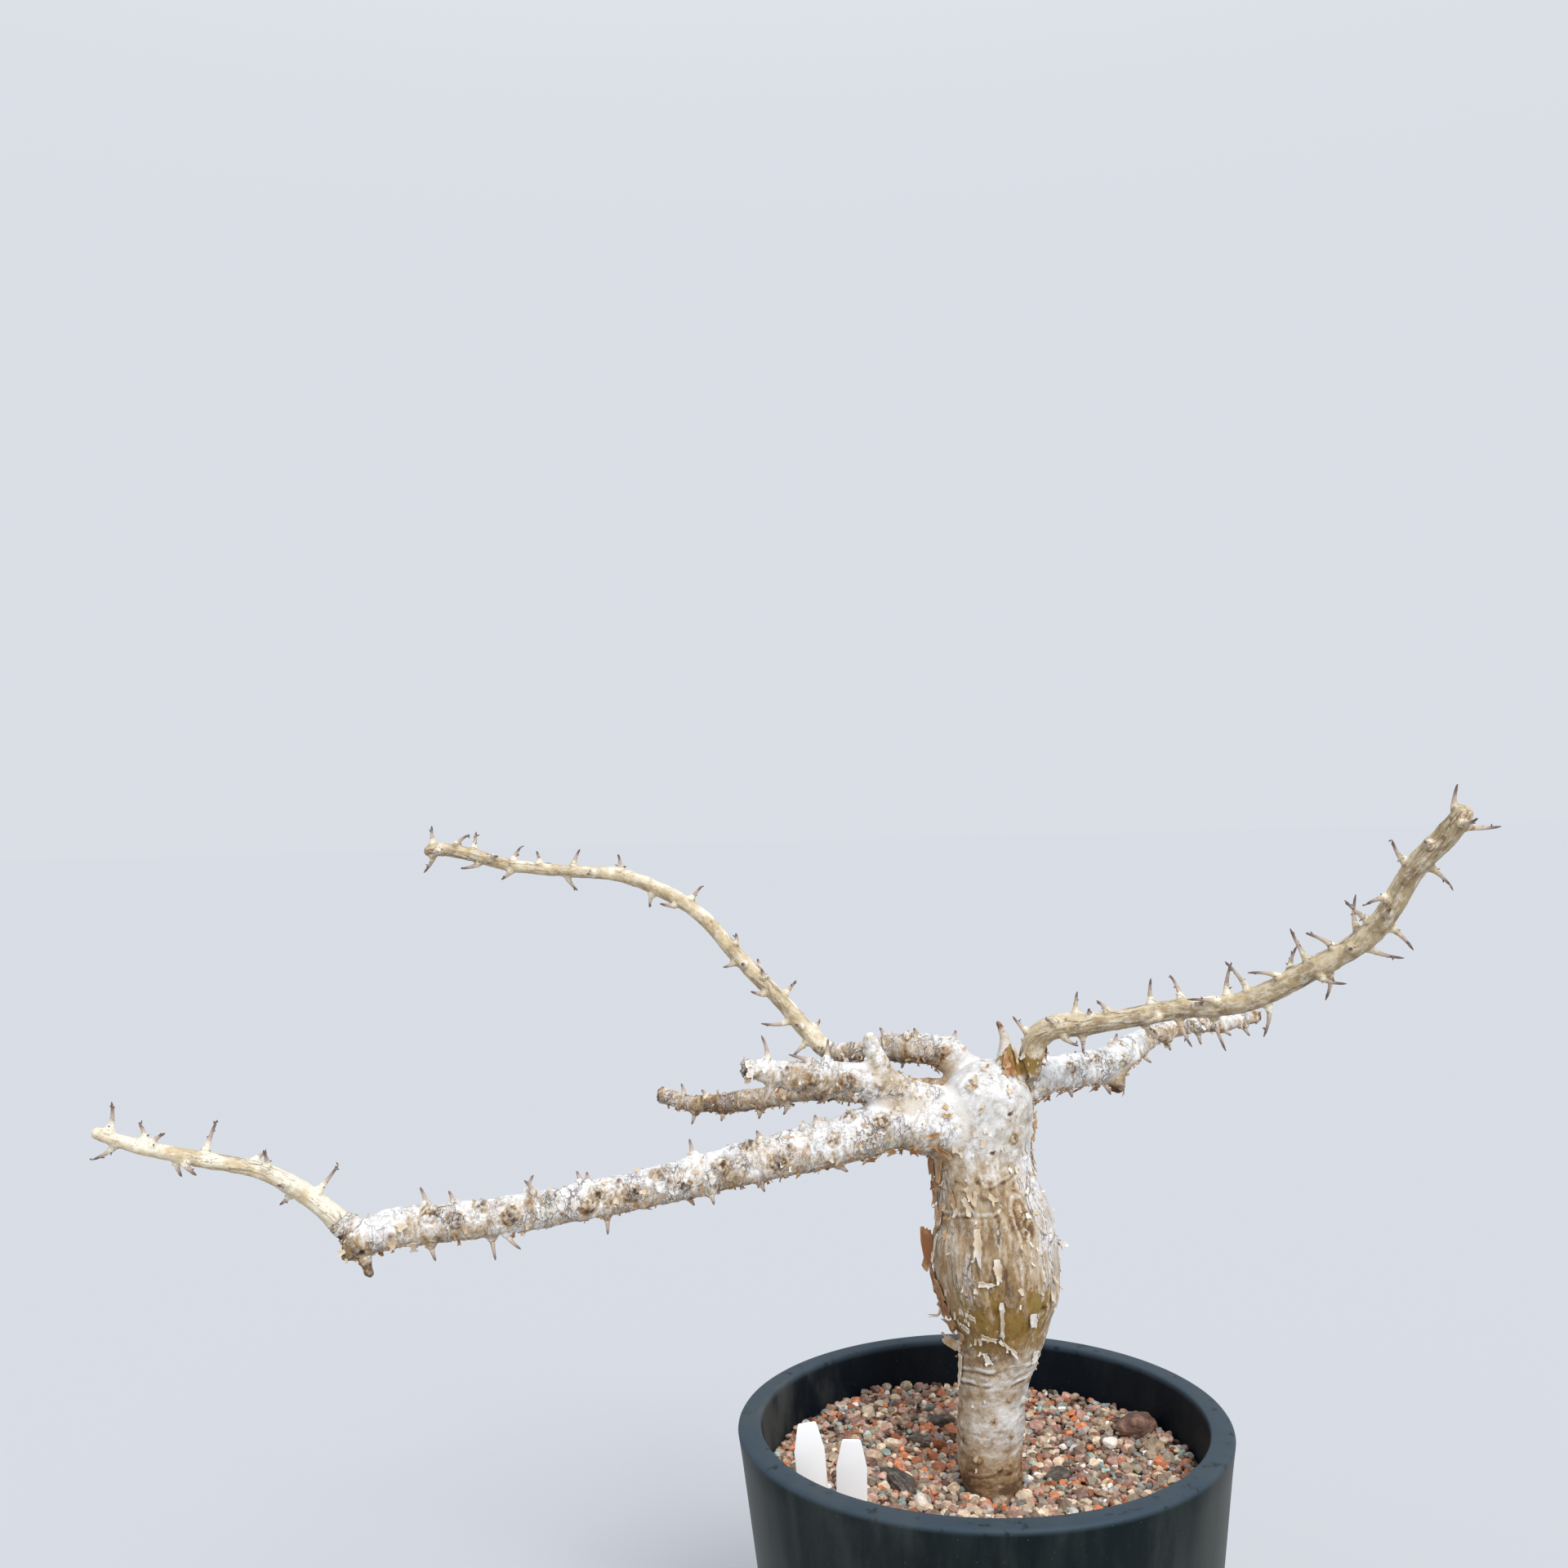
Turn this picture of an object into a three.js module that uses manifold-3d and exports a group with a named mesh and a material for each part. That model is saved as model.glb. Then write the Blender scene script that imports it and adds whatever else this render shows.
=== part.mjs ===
// Potted caudex shrub, leafless: a bottle-shaped trunk with low, wide, spiny limbs. Millimetres, +Z up.
// Origin: on the pot's axis at the underside of the pot. The viewer stands at -Y, and X is the spread.
import * as THREE from 'three';
import * as BufferGeometryUtils from 'three/addons/utils/BufferGeometryUtils.js';
import Module from 'manifold-3d';

const wasm = await Module();
wasm.setup();

// Pot
const POT_HEIGHT = 240;
const POT_RIM_RADIUS = 135;
const POT_TAPER = 0.1155;
const POT_WALL = 12.8;
const POT_FLOOR = 12;
const POT_RIM_ROUND = 3;
const POT_SIDES = 60;
const FOOT_PAD_RADIUS = 56;
const FOOT_RING_INNER = 92;
const FOOT_CHANNEL = 3;
const DRAIN_HOLES = 6;
const DRAIN_HOLE_RADIUS = 6;
const DRAIN_HOLE_CIRCLE = 74;

// Grit
const GRIT_CENTRE_HEIGHT = 200;
const GRIT_EDGE_RISE = 13;
const GRIT_EDGE_RADIUS = 118;
const GRIT_MOUND = { x: -45, y: 88, width: 46, height: 4 };
const GRAIN_RELIEF = 2.4;
const GRIT_RINGS = 13;
const GRIT_SIDES = 48;

// Clearance between pieces that touch
const SEAT_GAP = 0.3;

// Facets and lumps of the trunk, shared by the hole it stands in
const TRUNK_FORM = { sides: 18, step: 9, lump: 0.02, seed: 1 };

// Weld distance for shared corners
const WELD = 1e-3;

// Each route point is [x, y, z, radius].
const TRUNK = [
  [4, 0, 138, 9], [5, 0, 160, 14], [5, 0, 185, 16.5], [5, 0, 203, 16.7], [4, 0, 219, 18],
  [5, 0, 237, 19], [6, 0, 250, 18.3], [8, 0, 264, 20], [11, 0, 280, 23.2], [12, 0, 290, 26.5],
  [12, 0, 300, 30.5], [12, 0, 310, 33.5], [11, 0, 322, 35], [10, 0, 335, 34.8], [10, 0, 346, 33.2],
  [8, 0, 358, 30], [6, 0, 370, 27.5], [4, 0, 384, 27], [6, 0, 402, 27.3], [9, 1, 418, 25], [12, 2, 436, 16],
];
const LEFT_LIMB = [
  [5, -3, 402, 20], [-24, -8, 402, 17], [-43, -11, 405, 14.6], [-61, -15, 400, 13.4], [-97, -22, 393, 12.2],
  [-132, -29, 387, 11], [-184, -40, 378, 10], [-234, -51, 372, 9.4], [-283, -62, 369, 9.7],
  [-309, -68, 368, 10], [-328, -72, 361, 8],
];
const WHITE_STUB = [
  [-8, -5, 406, 14], [-38, -10, 417, 11.5], [-51, -12, 425, 11], [-69, -15, 430, 9.4],
  [-87, -18, 432, 8.6], [-105, -21, 434, 7.6], [-122, -24, 438, 5.5], [-128, -25, 438, 4.8],
];
const STUB_KNOB = [[-50, -14, 426, 8], [-53, -16, 437, 7.2], [-56, -17, 446, 5.2], [-58, -18, 455, 2.6]];
const BACK_LIMB = [
  [8, 8, 418, 13], [-3, 14, 429, 10.4], [-16, 21, 438, 9.3], [-38, 30, 439, 8], [-62, 39, 436, 6],
  [-76, 45, 435, 5.6], [-83, 47, 440, 5.4],
];
const LOWER_LEFT_LIMB = [
  [0, 8, 413, 11], [-30, 16, 416, 8], [-58, 25, 415, 6.4], [-86, 38, 415, 6.2], [-125, 55, 407, 6.2],
  [-145, 64, 404, 5.4], [-165, 72, 403, 4.4], [-175, 77, 406, 4.9], [-182, 80, 407, 4.3],
];
const RIGHT_BACK_LIMB = [
  [12, 8, 414, 13], [42, 23, 421, 10], [56, 31, 423, 9.9], [77, 43, 423, 10], [88, 49, 425, 10],
  [99, 56, 430, 8.7], [111, 63, 435, 6.9], [122, 69, 438, 5.2], [145, 81, 441, 5], [169, 93, 440, 4.8],
  [194, 105, 442, 3.4],
];
const BROKEN_BRANCH = [[92, 50, 424, 7], [91, 46, 415, 5.5], [90, 42, 408, 4.2]];
const CONE_STUB = [
  [18, -4, 420, 9], [18, -5, 430, 6.8], [19, -5, 440, 5.2], [18, -5, 448, 3.8], [14, -5, 459, 1.5],
];
const LEFT_SHOOT = [
  [-322, -69, 366, 8], [-332, -69, 372, 6.3], [-339, -72, 380, 5.2], [-353, -77, 393, 5],
  [-368, -83, 403, 4.2], [-396, -93, 412, 4], [-424, -104, 422, 3.5], [-440, -110, 430, 2.9],
];
const UPPER_LEFT_SHOOT = [
  [-62, 39, 436, 6], [-76, 45, 435, 5.6], [-88, 48, 445, 5.3], [-104, 50, 464, 4.8], [-132, 53, 494, 4.5],
  [-151, 56, 516, 4.4], [-171, 58, 530, 4.4], [-200, 60, 542, 3.9], [-230, 63, 545, 3.7],
  [-269, 66, 550, 3.6], [-289, 68, 556, 4.1], [-309, 69, 560, 4], [-320, 70, 559, 3.2],
];
const RIGHT_SHOOT = [
  [31, 2, 424, 7.6], [33, -2, 438, 6.7], [36, -6, 448, 6.8], [43, -11, 454, 6.8], [61, -18, 457, 6.5],
  [73, -24, 459, 5.5], [105, -38, 466, 5.4], [136, -53, 471, 5.6], [165, -68, 487, 5.9],
  [193, -86, 509, 5.7], [209, -103, 542, 5.6], [221, -113, 558, 5.9], [228, -120, 570, 4],
];

// How far up its route each young shoot begins. Below that the old wood carries it as a collar.
const LEFT_SHOOT_START = 16;
const UPPER_LEFT_SHOOT_START = 24;
const RIGHT_SHOOT_START = 20;

// Each spine is [distance up its stem, turn round it from the top towards the viewer, reach, lean along it].
const LEFT_SHOOT_SPINES = [
  [32, 10, 16, 1], [41, -150, 9, 1], [48, 100, 6, 4], [61, 35, 9, 5], [66, -20, 5, -4], [78, -95, 8, 3],
  [90, 5, 16, -1], [97, 140, 5, -6], [101, -165, 7, -4], [115, 25, 7, -4], [119, -30, 8, 5],
  [131, -165, 10, 6], [136, 5, 13, 5],
];
const UPPER_LEFT_SHOOT_SPINES = [
  [31, 165, 11, 0], [34, -10, 4, 0], [40, 95, 5, 3], [47, 170, 13, 9], [55, -95, 7, 2], [60, -5, 10, 1],
  [69, 150, 5, 6], [76, 45, 3, 4], [82, -40, 4, 4], [89, 90, 4, 1], [94, 165, 6, 2], [102, 5, 4, 4],
  [120, -90, 8, 0], [139, 0, 10, -1], [146, 150, 4, 7], [161, 175, 8, -2], [172, -100, 8, 2],
  [184, 20, 9, 2], [188, -60, 6, -6], [199, 95, 4, 3], [212, 0, 10, -3], [215, -165, 8, -6],
  [233, 10, 7, 2], [236, -70, 6, -8], [249, 0, 8, -3], [250, 165, 6, 4], [262, 60, 5, -5],
  [270, 170, 6, 9], [275, -5, 10, 1], [285, 15, 8, -7], [295, 100, 7, 4], [299, 0, 11, -1], [300, 180, 9, 7],
];
const RIGHT_SHOOT_SPINES = [
  [26, 30, 11, 3], [33, -120, 6, 3], [40, 60, 5, -3], [44, 150, 6, 7], [51, -5, 11, 2], [53, 180, 9, -1],
  [60, 40, 5, 1], [69, 15, 7, -4], [76, -95, 9, 2], [87, -160, 15, 9], [93, 0, 13, 3], [96, 110, 6, -12],
  [106, 175, 15, 4], [108, -30, 15, -5], [117, 70, 5, 5], [124, -170, 19, 3], [129, 60, 7, -14],
  [134, 0, 16, 6], [146, 15, 18, -4], [152, 175, 14, -9], [158, -90, 11, 2], [164, 35, 11, -11],
  [171, -20, 9, 8], [181, 15, 18, 2], [183, 150, 10, 10], [186, -165, 11, -9], [196, 30, 14, -6],
  [204, 95, 7, 2], [209, -145, 16, 8], [211, -15, 15, 10], [220, 30, 15, 2], [223, -150, 15, -4],
  [230, 110, 8, 6], [236, 60, 8, -6], [246, -60, 10, 3], [256, 30, 11, 6], [260, -150, 13, -2],
  [270, 75, 7, 1], [276, -80, 9, 4], [286, -130, 15, 7], [288, 130, 11, 8], [291, 10, 6, 10],
];
const LEFT_LIMB_STUBS = [
  [85, 170, 4, -3], [94, 0, 4, 0], [100, -90, 6, 0], [112, 60, 3, 2], [126, -5, 4, 1], [130, 175, 5, -1],
  [146, -80, 6, 2], [158, 150, 6, 0], [163, 0, 9, 0], [169, -170, 5, -2], [178, 70, 3, 2], [192, -100, 7, 0],
  [204, 40, 3, 1], [213, 180, 9, 1], [220, 0, 5, 0], [224, -15, 6, 1], [236, 95, 3, 0], [242, -85, 7, 2],
  [249, 15, 8, 4], [252, -10, 8, -4], [264, 170, 8, -6], [272, 180, 12, -1], [280, -80, 7, 0],
  [288, 80, 5, 2], [291, 0, 6, 2], [303, 175, 8, -2], [305, 0, 9, 3], [316, -100, 7, 0], [322, 90, 5, 1],
];
const WHITE_STUB_SPINES = [
  [47, 175, 6, 6], [58, -60, 6, 2], [63, 150, 4, 0], [75, -160, 7, 8], [80, 0, 11, 0], [90, 20, 4, 12],
  [99, -70, 6, 0], [103, 60, 4, 1], [109, 170, 11, 3], [114, 0, 11, 6],
];
const LOWER_LEFT_LIMB_SPINES = [
  [62, -100, 7, 2], [92, -30, 6, 2], [112, 170, 5, 3], [120, 20, 4, 0], [130, 180, 5, 2], [142, -90, 6, 1],
  [153, 160, 5, 1], [164, 20, 4, 2], [173, 175, 7, 2], [181, 0, 6, 3], [186, -110, 6, 2],
];
const RIGHT_BACK_LIMB_SPINES = [
  [40, -10, 4, 1], [52, 160, 5, 0], [61, 60, 4, 2], [72, -60, 6, 1], [80, 170, 7, 2], [94, 10, 5, 3],
  [104, -120, 7, 0], [112, 170, 6, 3], [124, -10, 6, 4], [133, 165, 6, 0], [143, 40, 4, 2], [151, -80, 7, 3],
  [160, 180, 7, 2], [170, 5, 5, 3], [178, 130, 5, 2], [187, -30, 6, 3], [197, 175, 6, 3], [206, 10, 5, 4],
];
const BACK_LIMB_SPINES = [[30, -20, 5, 1], [46, 20, 4, 1], [58, -150, 6, 2], [66, 5, 5, 2], [76, 160, 5, 3]];
const TRUNK_KNOBS = [
  [80, 30, 3, 2], [84, -30, 3, 1], [98, 150, 4, 0], [116, 55, 3, 2], [172, -160, 4, 2], [205, 55, 3, 3],
  [231, -10, 3, 2], [246, 130, 4, 1],
];

// Spines shorter than this are straight cones.
const SHORT_SPINE = 7.5;

// Papery bark torn loose from the trunk: [distance up it, turn from the front, length, width, curl].
const BARK_FLAKES = [
  [196, -84, 17, 7, 0.35], [174, -86, 22, 9, 0.5], [160, -88, 26, 7, 1.25], [139, -84, 15, 8, 1.1],
  [113, -58, 20, 7, 0.6], [150, -20, 16, 9, 0.4], [156, 35, 12, 8, 0.6], [176, 92, 13, 8, 0.7],
  [150, 150, 20, 10, 0.7], [172, -150, 22, 10, 0.6], [222, 60, 16, 8, 0.5], [228, -75, 14, 8, 0.8],
];

// Loose things on the grit: [x, y, half length, half width, half height, turn about the vertical].
const STONES = {
  lava_stone: { place: [96, 45, 11.5, 9, 7.5, 20], colour: 0x80604c, roughness: 0.95, seed: 31 },
  tan_stone: { place: [100, 20, 6.5, 5.5, 4.5, 60], colour: 0xb59a7c, roughness: 0.85, seed: 32 },
  white_pebble: { place: [78, 34, 5, 4, 3.6, 10], colour: 0xe8e2d8, roughness: 0.6, seed: 33 },
  speckled_pebble: { place: [-36, -24, 6.5, 5, 4.4, 75], colour: 0xcfc4b4, roughness: 0.7, seed: 34 },
};
const BARK_CHIPS = [
  { place: [-47, 2, 17, 5.5, 3.4, 108], seed: 41 },
  { place: [-16, 72, 9, 5, 3, 15], seed: 42 },
  { place: [-31, 50, 8, 4.5, 2.8, 150], seed: 43 },
  { place: [43, 6, 9, 5, 3, 35], seed: 44 },
];

// Blank plant labels: foot point, lean to the side, and how far each stands out of the grit.
const LABEL_WIDTH = 16;
const LABEL_TOP_WIDTH = 10;
const LABEL_SHOULDER = 13;
const LABEL_THICKNESS = 0.8;
const LABEL_BURIED = 40;
const LABELS = {
  label_left: { foot: [-94, -44], height: 46, lean: 4, turn: 8 },
  label_right: { foot: [-75, -52], height: 42, lean: -1, turn: -4 },
};

const BARK = { color: 0xdccfba, roughness: 0.85, metalness: 0 };
const YOUNG_BARK = { color: 0xdcc096, roughness: 0.55, metalness: 0 };
const POT_PLASTIC = { color: 0x2f393f, roughness: 0.6, metalness: 0 };
const GRAVEL = { color: 0x9b7b69, roughness: 0.9, metalness: 0 };
const LABEL_PLASTIC = { color: 0xf3f4f6, roughness: 0.4, metalness: 0 };
const CHIP_WOOD = { color: 0x3d2c24, roughness: 0.9, metalness: 0 };

const group = new THREE.Group();

function seeded(seed) {
  let state = seed;
  return () => {
    state = (state + 0x6d2b79f5) | 0;
    let mix = Math.imul(state ^ (state >>> 15), 1 | state);
    mix = (mix + Math.imul(mix ^ (mix >>> 7), 61 | mix)) ^ mix;
    return ((mix ^ (mix >>> 14)) >>> 0) / 4294967296;
  };
}

// Solid from a closed geometry: corners are shared, and triangles shrunk to nothing at poles are dropped.
function toSolid(geometry) {
  geometry.deleteAttribute('normal');
  geometry.deleteAttribute('uv');
  const welded = BufferGeometryUtils.mergeVertices(geometry, WELD);
  const corners = welded.index.array;
  const kept = [];
  for (let i = 0; i < corners.length; i += 3) {
    const [a, b, c] = [corners[i], corners[i + 1], corners[i + 2]];
    if (a !== b && b !== c && c !== a) kept.push(a, b, c);
  }
  const vertProperties = welded.attributes.position.array;
  return new wasm.Manifold(new wasm.Mesh({ numProp: 3, vertProperties, triVerts: Uint32Array.from(kept) }));
}

function toGeometry(solid) {
  const mesh = solid.getMesh();
  const geometry = new THREE.BufferGeometry();
  geometry.setAttribute('position', new THREE.BufferAttribute(mesh.vertProperties, 3));
  geometry.setIndex(new THREE.BufferAttribute(mesh.triVerts, 1));
  geometry.computeVertexNormals();
  return geometry;
}

// One body of many: hollows sealed by the joining are filled, and loose scraps are dropped.
function joined(solids) {
  const whole = solids.reduce((sum, next) => sum.add(next));
  return whole.decompose().reduce((best, next) => (next.volume() > best.volume() ? next : best));
}

function place(name, solid, finish) {
  const mesh = new THREE.Mesh(toGeometry(solid), new THREE.MeshStandardMaterial(finish));
  mesh.name = name;
  group.add(mesh);
}

// Moves every corner of a geometry by a function of its place.
function reshape(geometry, move) {
  const corners = geometry.attributes.position;
  const point = new THREE.Vector3();
  for (let i = 0; i < corners.count; i += 1) {
    point.fromBufferAttribute(corners, i);
    move(point);
    corners.setXYZ(i, point.x, point.y, point.z);
  }
  return geometry;
}

// A stem grown along a smooth curve. Turn is measured round it from `top`, towards the viewer.
class Stem {
  constructor(route, { top = [0, 0, 1], handed = 1 } = {}) {
    this.girths = route.map((point) => point[3]);
    const points = route.map(([x, y, z]) => new THREE.Vector3(x, y, z));
    this.curve = new THREE.CatmullRomCurve3(points, false, 'centripetal');
    this.curve.arcLengthDivisions = 400;
    this.length = this.curve.getLength();
    this.top = new THREE.Vector3(...top);
    this.handed = handed;
  }

  girthAt(u) {
    const step = this.curve.getUtoTmapping(u) * (this.girths.length - 1);
    const low = Math.min(Math.floor(step), this.girths.length - 2);
    return THREE.MathUtils.lerp(this.girths[low], this.girths[low + 1], step - low);
  }

  frameAt(u) {
    const centre = this.curve.getPointAt(u);
    const along = this.curve.getTangentAt(u);
    const top = this.top.clone().addScaledVector(along, -this.top.dot(along)).normalize();
    const side = new THREE.Vector3().crossVectors(along, top);
    return { centre, along, top, side };
  }

  // Solid of the stem between two distances, with flat or rounded ends and a lumpy girth.
  solid({
    start = 0, end = this.length, sides = 8, step = 10, roundStart = true, roundEnd = true, lump = 0.04, seed = 1,
  }) {
    const stops = [start];
    const startGirth = this.girthAt(start / this.length);
    const endGirth = this.girthAt(end / this.length);
    const bodyStart = start + (roundStart ? startGirth : 0);
    const bodyEnd = end - (roundEnd ? endGirth : 0);
    if (roundStart) stops.push(start + startGirth * 0.12, start + startGirth * 0.45);
    const count = Math.max(1, Math.round((bodyEnd - bodyStart) / step));
    for (let i = 0; i <= count; i += 1) stops.push(THREE.MathUtils.lerp(bodyStart, bodyEnd, i / count));
    if (roundEnd) stops.push(end - endGirth * 0.45, end - endGirth * 0.12, end);

    const dome = (gap, girth) => Math.sqrt(Math.max(0, 1 - (1 - Math.min(1, gap / girth)) ** 2));
    const profile = stops.map((distance) => {
      const opening = roundStart ? dome(distance - start, startGirth) : 1;
      const closing = roundEnd ? dome(end - distance, endGirth) : 1;
      return new THREE.Vector2(opening * closing, distance);
    });
    if (!roundStart) profile.unshift(new THREE.Vector2(0, start));
    if (!roundEnd) profile.push(new THREE.Vector2(0, end));

    const draw = seeded(seed);
    const phase = [draw(), draw(), draw()].map((value) => value * Math.PI * 2);
    return toSolid(reshape(new THREE.LatheGeometry(profile, sides), (point) => {
      const distance = point.y;
      const u = THREE.MathUtils.clamp(distance / this.length, 0, 1);
      const { centre, along, top, side } = this.frameAt(u);
      const turn = Math.atan2(point.x, point.z);
      const swell = Math.sin(distance / 6.1 + phase[0] + Math.sin(turn + phase[1])) * 0.6
        + Math.sin(2 * turn + distance / 15 + phase[2]) * 0.4;
      const girth = this.girthAt(u) * (1 + lump * swell);
      const { x, z } = point;
      point.copy(centre).addScaledVector(side, x * girth).addScaledVector(top, z * girth);
    }));
  }

  outward(u, turnDegrees) {
    const { centre, along, top, side } = this.frameAt(u);
    const turn = THREE.MathUtils.degToRad(turnDegrees) * this.handed;
    const out = top.clone().multiplyScalar(Math.cos(turn)).addScaledVector(side, Math.sin(turn));
    return { centre, along, out };
  }

  // Spine or stub: a bent few-sided cone on a foot that runs down the stem.
  spine([distance, turn, reach, lean], { root = 2.3, tip = 0.55, sides = 4 }) {
    const u = distance / this.length;
    const { centre, along, out } = this.outward(u, turn);
    const across = new THREE.Vector3().crossVectors(along, out);
    const sunk = this.girthAt(u) * 0.5;
    const waist = reach < SHORT_SPINE ? [] : [[root * 0.6, 0.45]];
    const profile = [[0, 0], [root * 1.1, 0], ...waist, [tip * 1.3, 0.85], [0, 1]]
      .map(([radius, height]) => new THREE.Vector2(radius, height));
    const surface = sunk / (sunk + reach);
    return toSolid(reshape(new THREE.LatheGeometry(profile, sides), (point) => {
      const rise = Math.max(0, point.y - surface) / (1 - surface);
      const height = point.y * (sunk + reach) + this.girthAt(u) - sunk;
      const shift = lean * rise * rise + point.x * (1 + 0.7 * (1 - point.y));
      const { z } = point;
      point.copy(centre).addScaledVector(out, height);
      point.addScaledVector(along, shift).addScaledVector(across, z);
    }));
  }

  // Curled bark flake: a thin strip rooted in the stem at its upper end, with its lower end standing off.
  flake([distance, turn, length, width, curl]) {
    const u = distance / this.length;
    const { centre, along, out } = this.outward(u, turn);
    const across = new THREE.Vector3().crossVectors(out, along);
    const girth = this.girthAt(u);
    const strip = new THREE.BoxGeometry(width, 0.9, length, 1, 1, 3);
    return toSolid(reshape(strip, (point) => {
      const free = 0.5 - point.z / length;
      const stand = free * free * curl * length * 0.55 + point.y - 1.2;
      const narrow = 1 - 0.45 * free;
      const { x, z } = point;
      const dip = Math.hypot(x, girth) - girth;
      point.copy(centre).addScaledVector(out, girth + stand - dip)
        .addScaledVector(along, z * (1 - 0.3 * curl * free)).addScaledVector(across, x * narrow);
    }));
  }
}

const LEFTWARD = { handed: -1 };
const trunk = new Stem(TRUNK, { top: [0, -1, 0] });
const leftShoot = new Stem(LEFT_SHOOT, LEFTWARD);
const upperLeftShoot = new Stem(UPPER_LEFT_SHOOT, LEFTWARD);
const rightShoot = new Stem(RIGHT_SHOOT);

// Old wood: trunk, limbs and the collars that carry the young shoots, one grown body.
function buildOldWood() {
  const stub = { root: 2.4, tip: 0.9 };
  const limbs = [
    { stem: new Stem(LEFT_LIMB, LEFTWARD), sides: 10, step: 15, spines: LEFT_LIMB_STUBS, seed: 2 },
    { stem: new Stem(WHITE_STUB, LEFTWARD), sides: 9, step: 13, spines: WHITE_STUB_SPINES, seed: 3 },
    { stem: new Stem(STUB_KNOB, LEFTWARD), sides: 7, step: 8, spines: [], seed: 4 },
    { stem: new Stem(BACK_LIMB, LEFTWARD), sides: 8, step: 11, spines: BACK_LIMB_SPINES, seed: 5 },
    { stem: new Stem(LOWER_LEFT_LIMB, LEFTWARD), sides: 7, step: 14, spines: LOWER_LEFT_LIMB_SPINES, seed: 6 },
    { stem: new Stem(RIGHT_BACK_LIMB), sides: 8, step: 13, spines: RIGHT_BACK_LIMB_SPINES, seed: 7 },
    { stem: new Stem(BROKEN_BRANCH, { top: [1, 0, 0] }), sides: 6, step: 6, spines: [], seed: 8 },
    { stem: new Stem(CONE_STUB, { top: [0, -1, 0] }), sides: 7, step: 8, spines: [], seed: 9 },
  ];
  const pieces = [trunk.solid(TRUNK_FORM)];
  TRUNK_KNOBS.forEach((knob) => pieces.push(trunk.spine(knob, { root: 3, tip: 1.4 })));
  BARK_FLAKES.forEach((flake) => pieces.push(trunk.flake(flake)));
  limbs.forEach(({ stem, sides, step, spines, seed }) => {
    pieces.push(stem.solid({ sides, step, lump: 0.07, seed }));
    spines.forEach((spine) => pieces.push(stem.spine(spine, stub)));
  });
  const collars = [
    [leftShoot, LEFT_SHOOT_START], [upperLeftShoot, UPPER_LEFT_SHOOT_START], [rightShoot, RIGHT_SHOOT_START],
  ];
  collars.forEach(([stem, end]) => {
    pieces.push(stem.solid({ end, sides: 9, step: 6, roundEnd: false, seed: 10 }));
  });
  return joined(pieces);
}

// Young shoot: the stem above its collar, with its spines, clear of the old wood by the seat gap.
function buildShoot(stem, start, spines, seed) {
  const form = { sides: 8, step: 10, roundStart: false, lump: 0.03, seed };
  const body = stem.solid({ start: start + SEAT_GAP, ...form });
  return joined([body, ...spines.map((spine) => stem.spine(spine, { root: 1.9, tip: 0.55 }))]);
}

function outerRadiusAt(height) {
  return POT_RIM_RADIUS - POT_TAPER * (POT_HEIGHT - height);
}

function innerRadiusAt(height) {
  return outerRadiusAt(height) - POT_WALL;
}

// Pot: tapered wall with a flat rim, over a floor with a foot ring, a centre pad and drain holes between.
function buildPot() {
  const edge = 1.2;
  const fillet = 5;
  const profile = [
    [0, 0], [FOOT_PAD_RADIUS, 0], [FOOT_PAD_RADIUS + edge, FOOT_CHANNEL],
    [FOOT_RING_INNER - edge, FOOT_CHANNEL], [FOOT_RING_INNER, 0], [outerRadiusAt(0) - 2, 0], [outerRadiusAt(2), 2],
    [outerRadiusAt(POT_HEIGHT - POT_RIM_ROUND), POT_HEIGHT - POT_RIM_ROUND],
    [POT_RIM_RADIUS - 0.9, POT_HEIGHT - 0.9], [POT_RIM_RADIUS - POT_RIM_ROUND, POT_HEIGHT],
    [innerRadiusAt(POT_HEIGHT) + edge, POT_HEIGHT], [innerRadiusAt(POT_HEIGHT - edge), POT_HEIGHT - edge],
    [innerRadiusAt(POT_FLOOR + fillet), POT_FLOOR + fillet], [innerRadiusAt(POT_FLOOR) - fillet, POT_FLOOR],
    [0, POT_FLOOR],
  ].map(([radius, height]) => new THREE.Vector2(radius, height));
  const upright = (geometry) => geometry.rotateX(Math.PI / 2);
  let pot = toSolid(upright(new THREE.LatheGeometry(profile, POT_SIDES)));
  for (let i = 0; i < DRAIN_HOLES; i += 1) {
    const turn = (i + 0.5) * (Math.PI * 2 / DRAIN_HOLES);
    const hole = upright(new THREE.CylinderGeometry(DRAIN_HOLE_RADIUS, DRAIN_HOLE_RADIUS, 4 * POT_FLOOR, 10));
    hole.translate(Math.cos(turn) * DRAIN_HOLE_CIRCLE, Math.sin(turn) * DRAIN_HOLE_CIRCLE, POT_FLOOR / 2);
    pot = pot.subtract(toSolid(hole));
  }
  return pot;
}

// Height of the grit before its grains: dished round the trunk, banked up to the wall, mounded at back left.
function gritHeight(x, y) {
  const bank = GRIT_EDGE_RISE * (Math.hypot(x, y) / GRIT_EDGE_RADIUS) ** 2;
  const away = Math.hypot(x - GRIT_MOUND.x, y - GRIT_MOUND.y) / GRIT_MOUND.width;
  return GRIT_CENTRE_HEIGHT + bank + GRIT_MOUND.height * Math.exp(-away * away);
}

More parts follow.
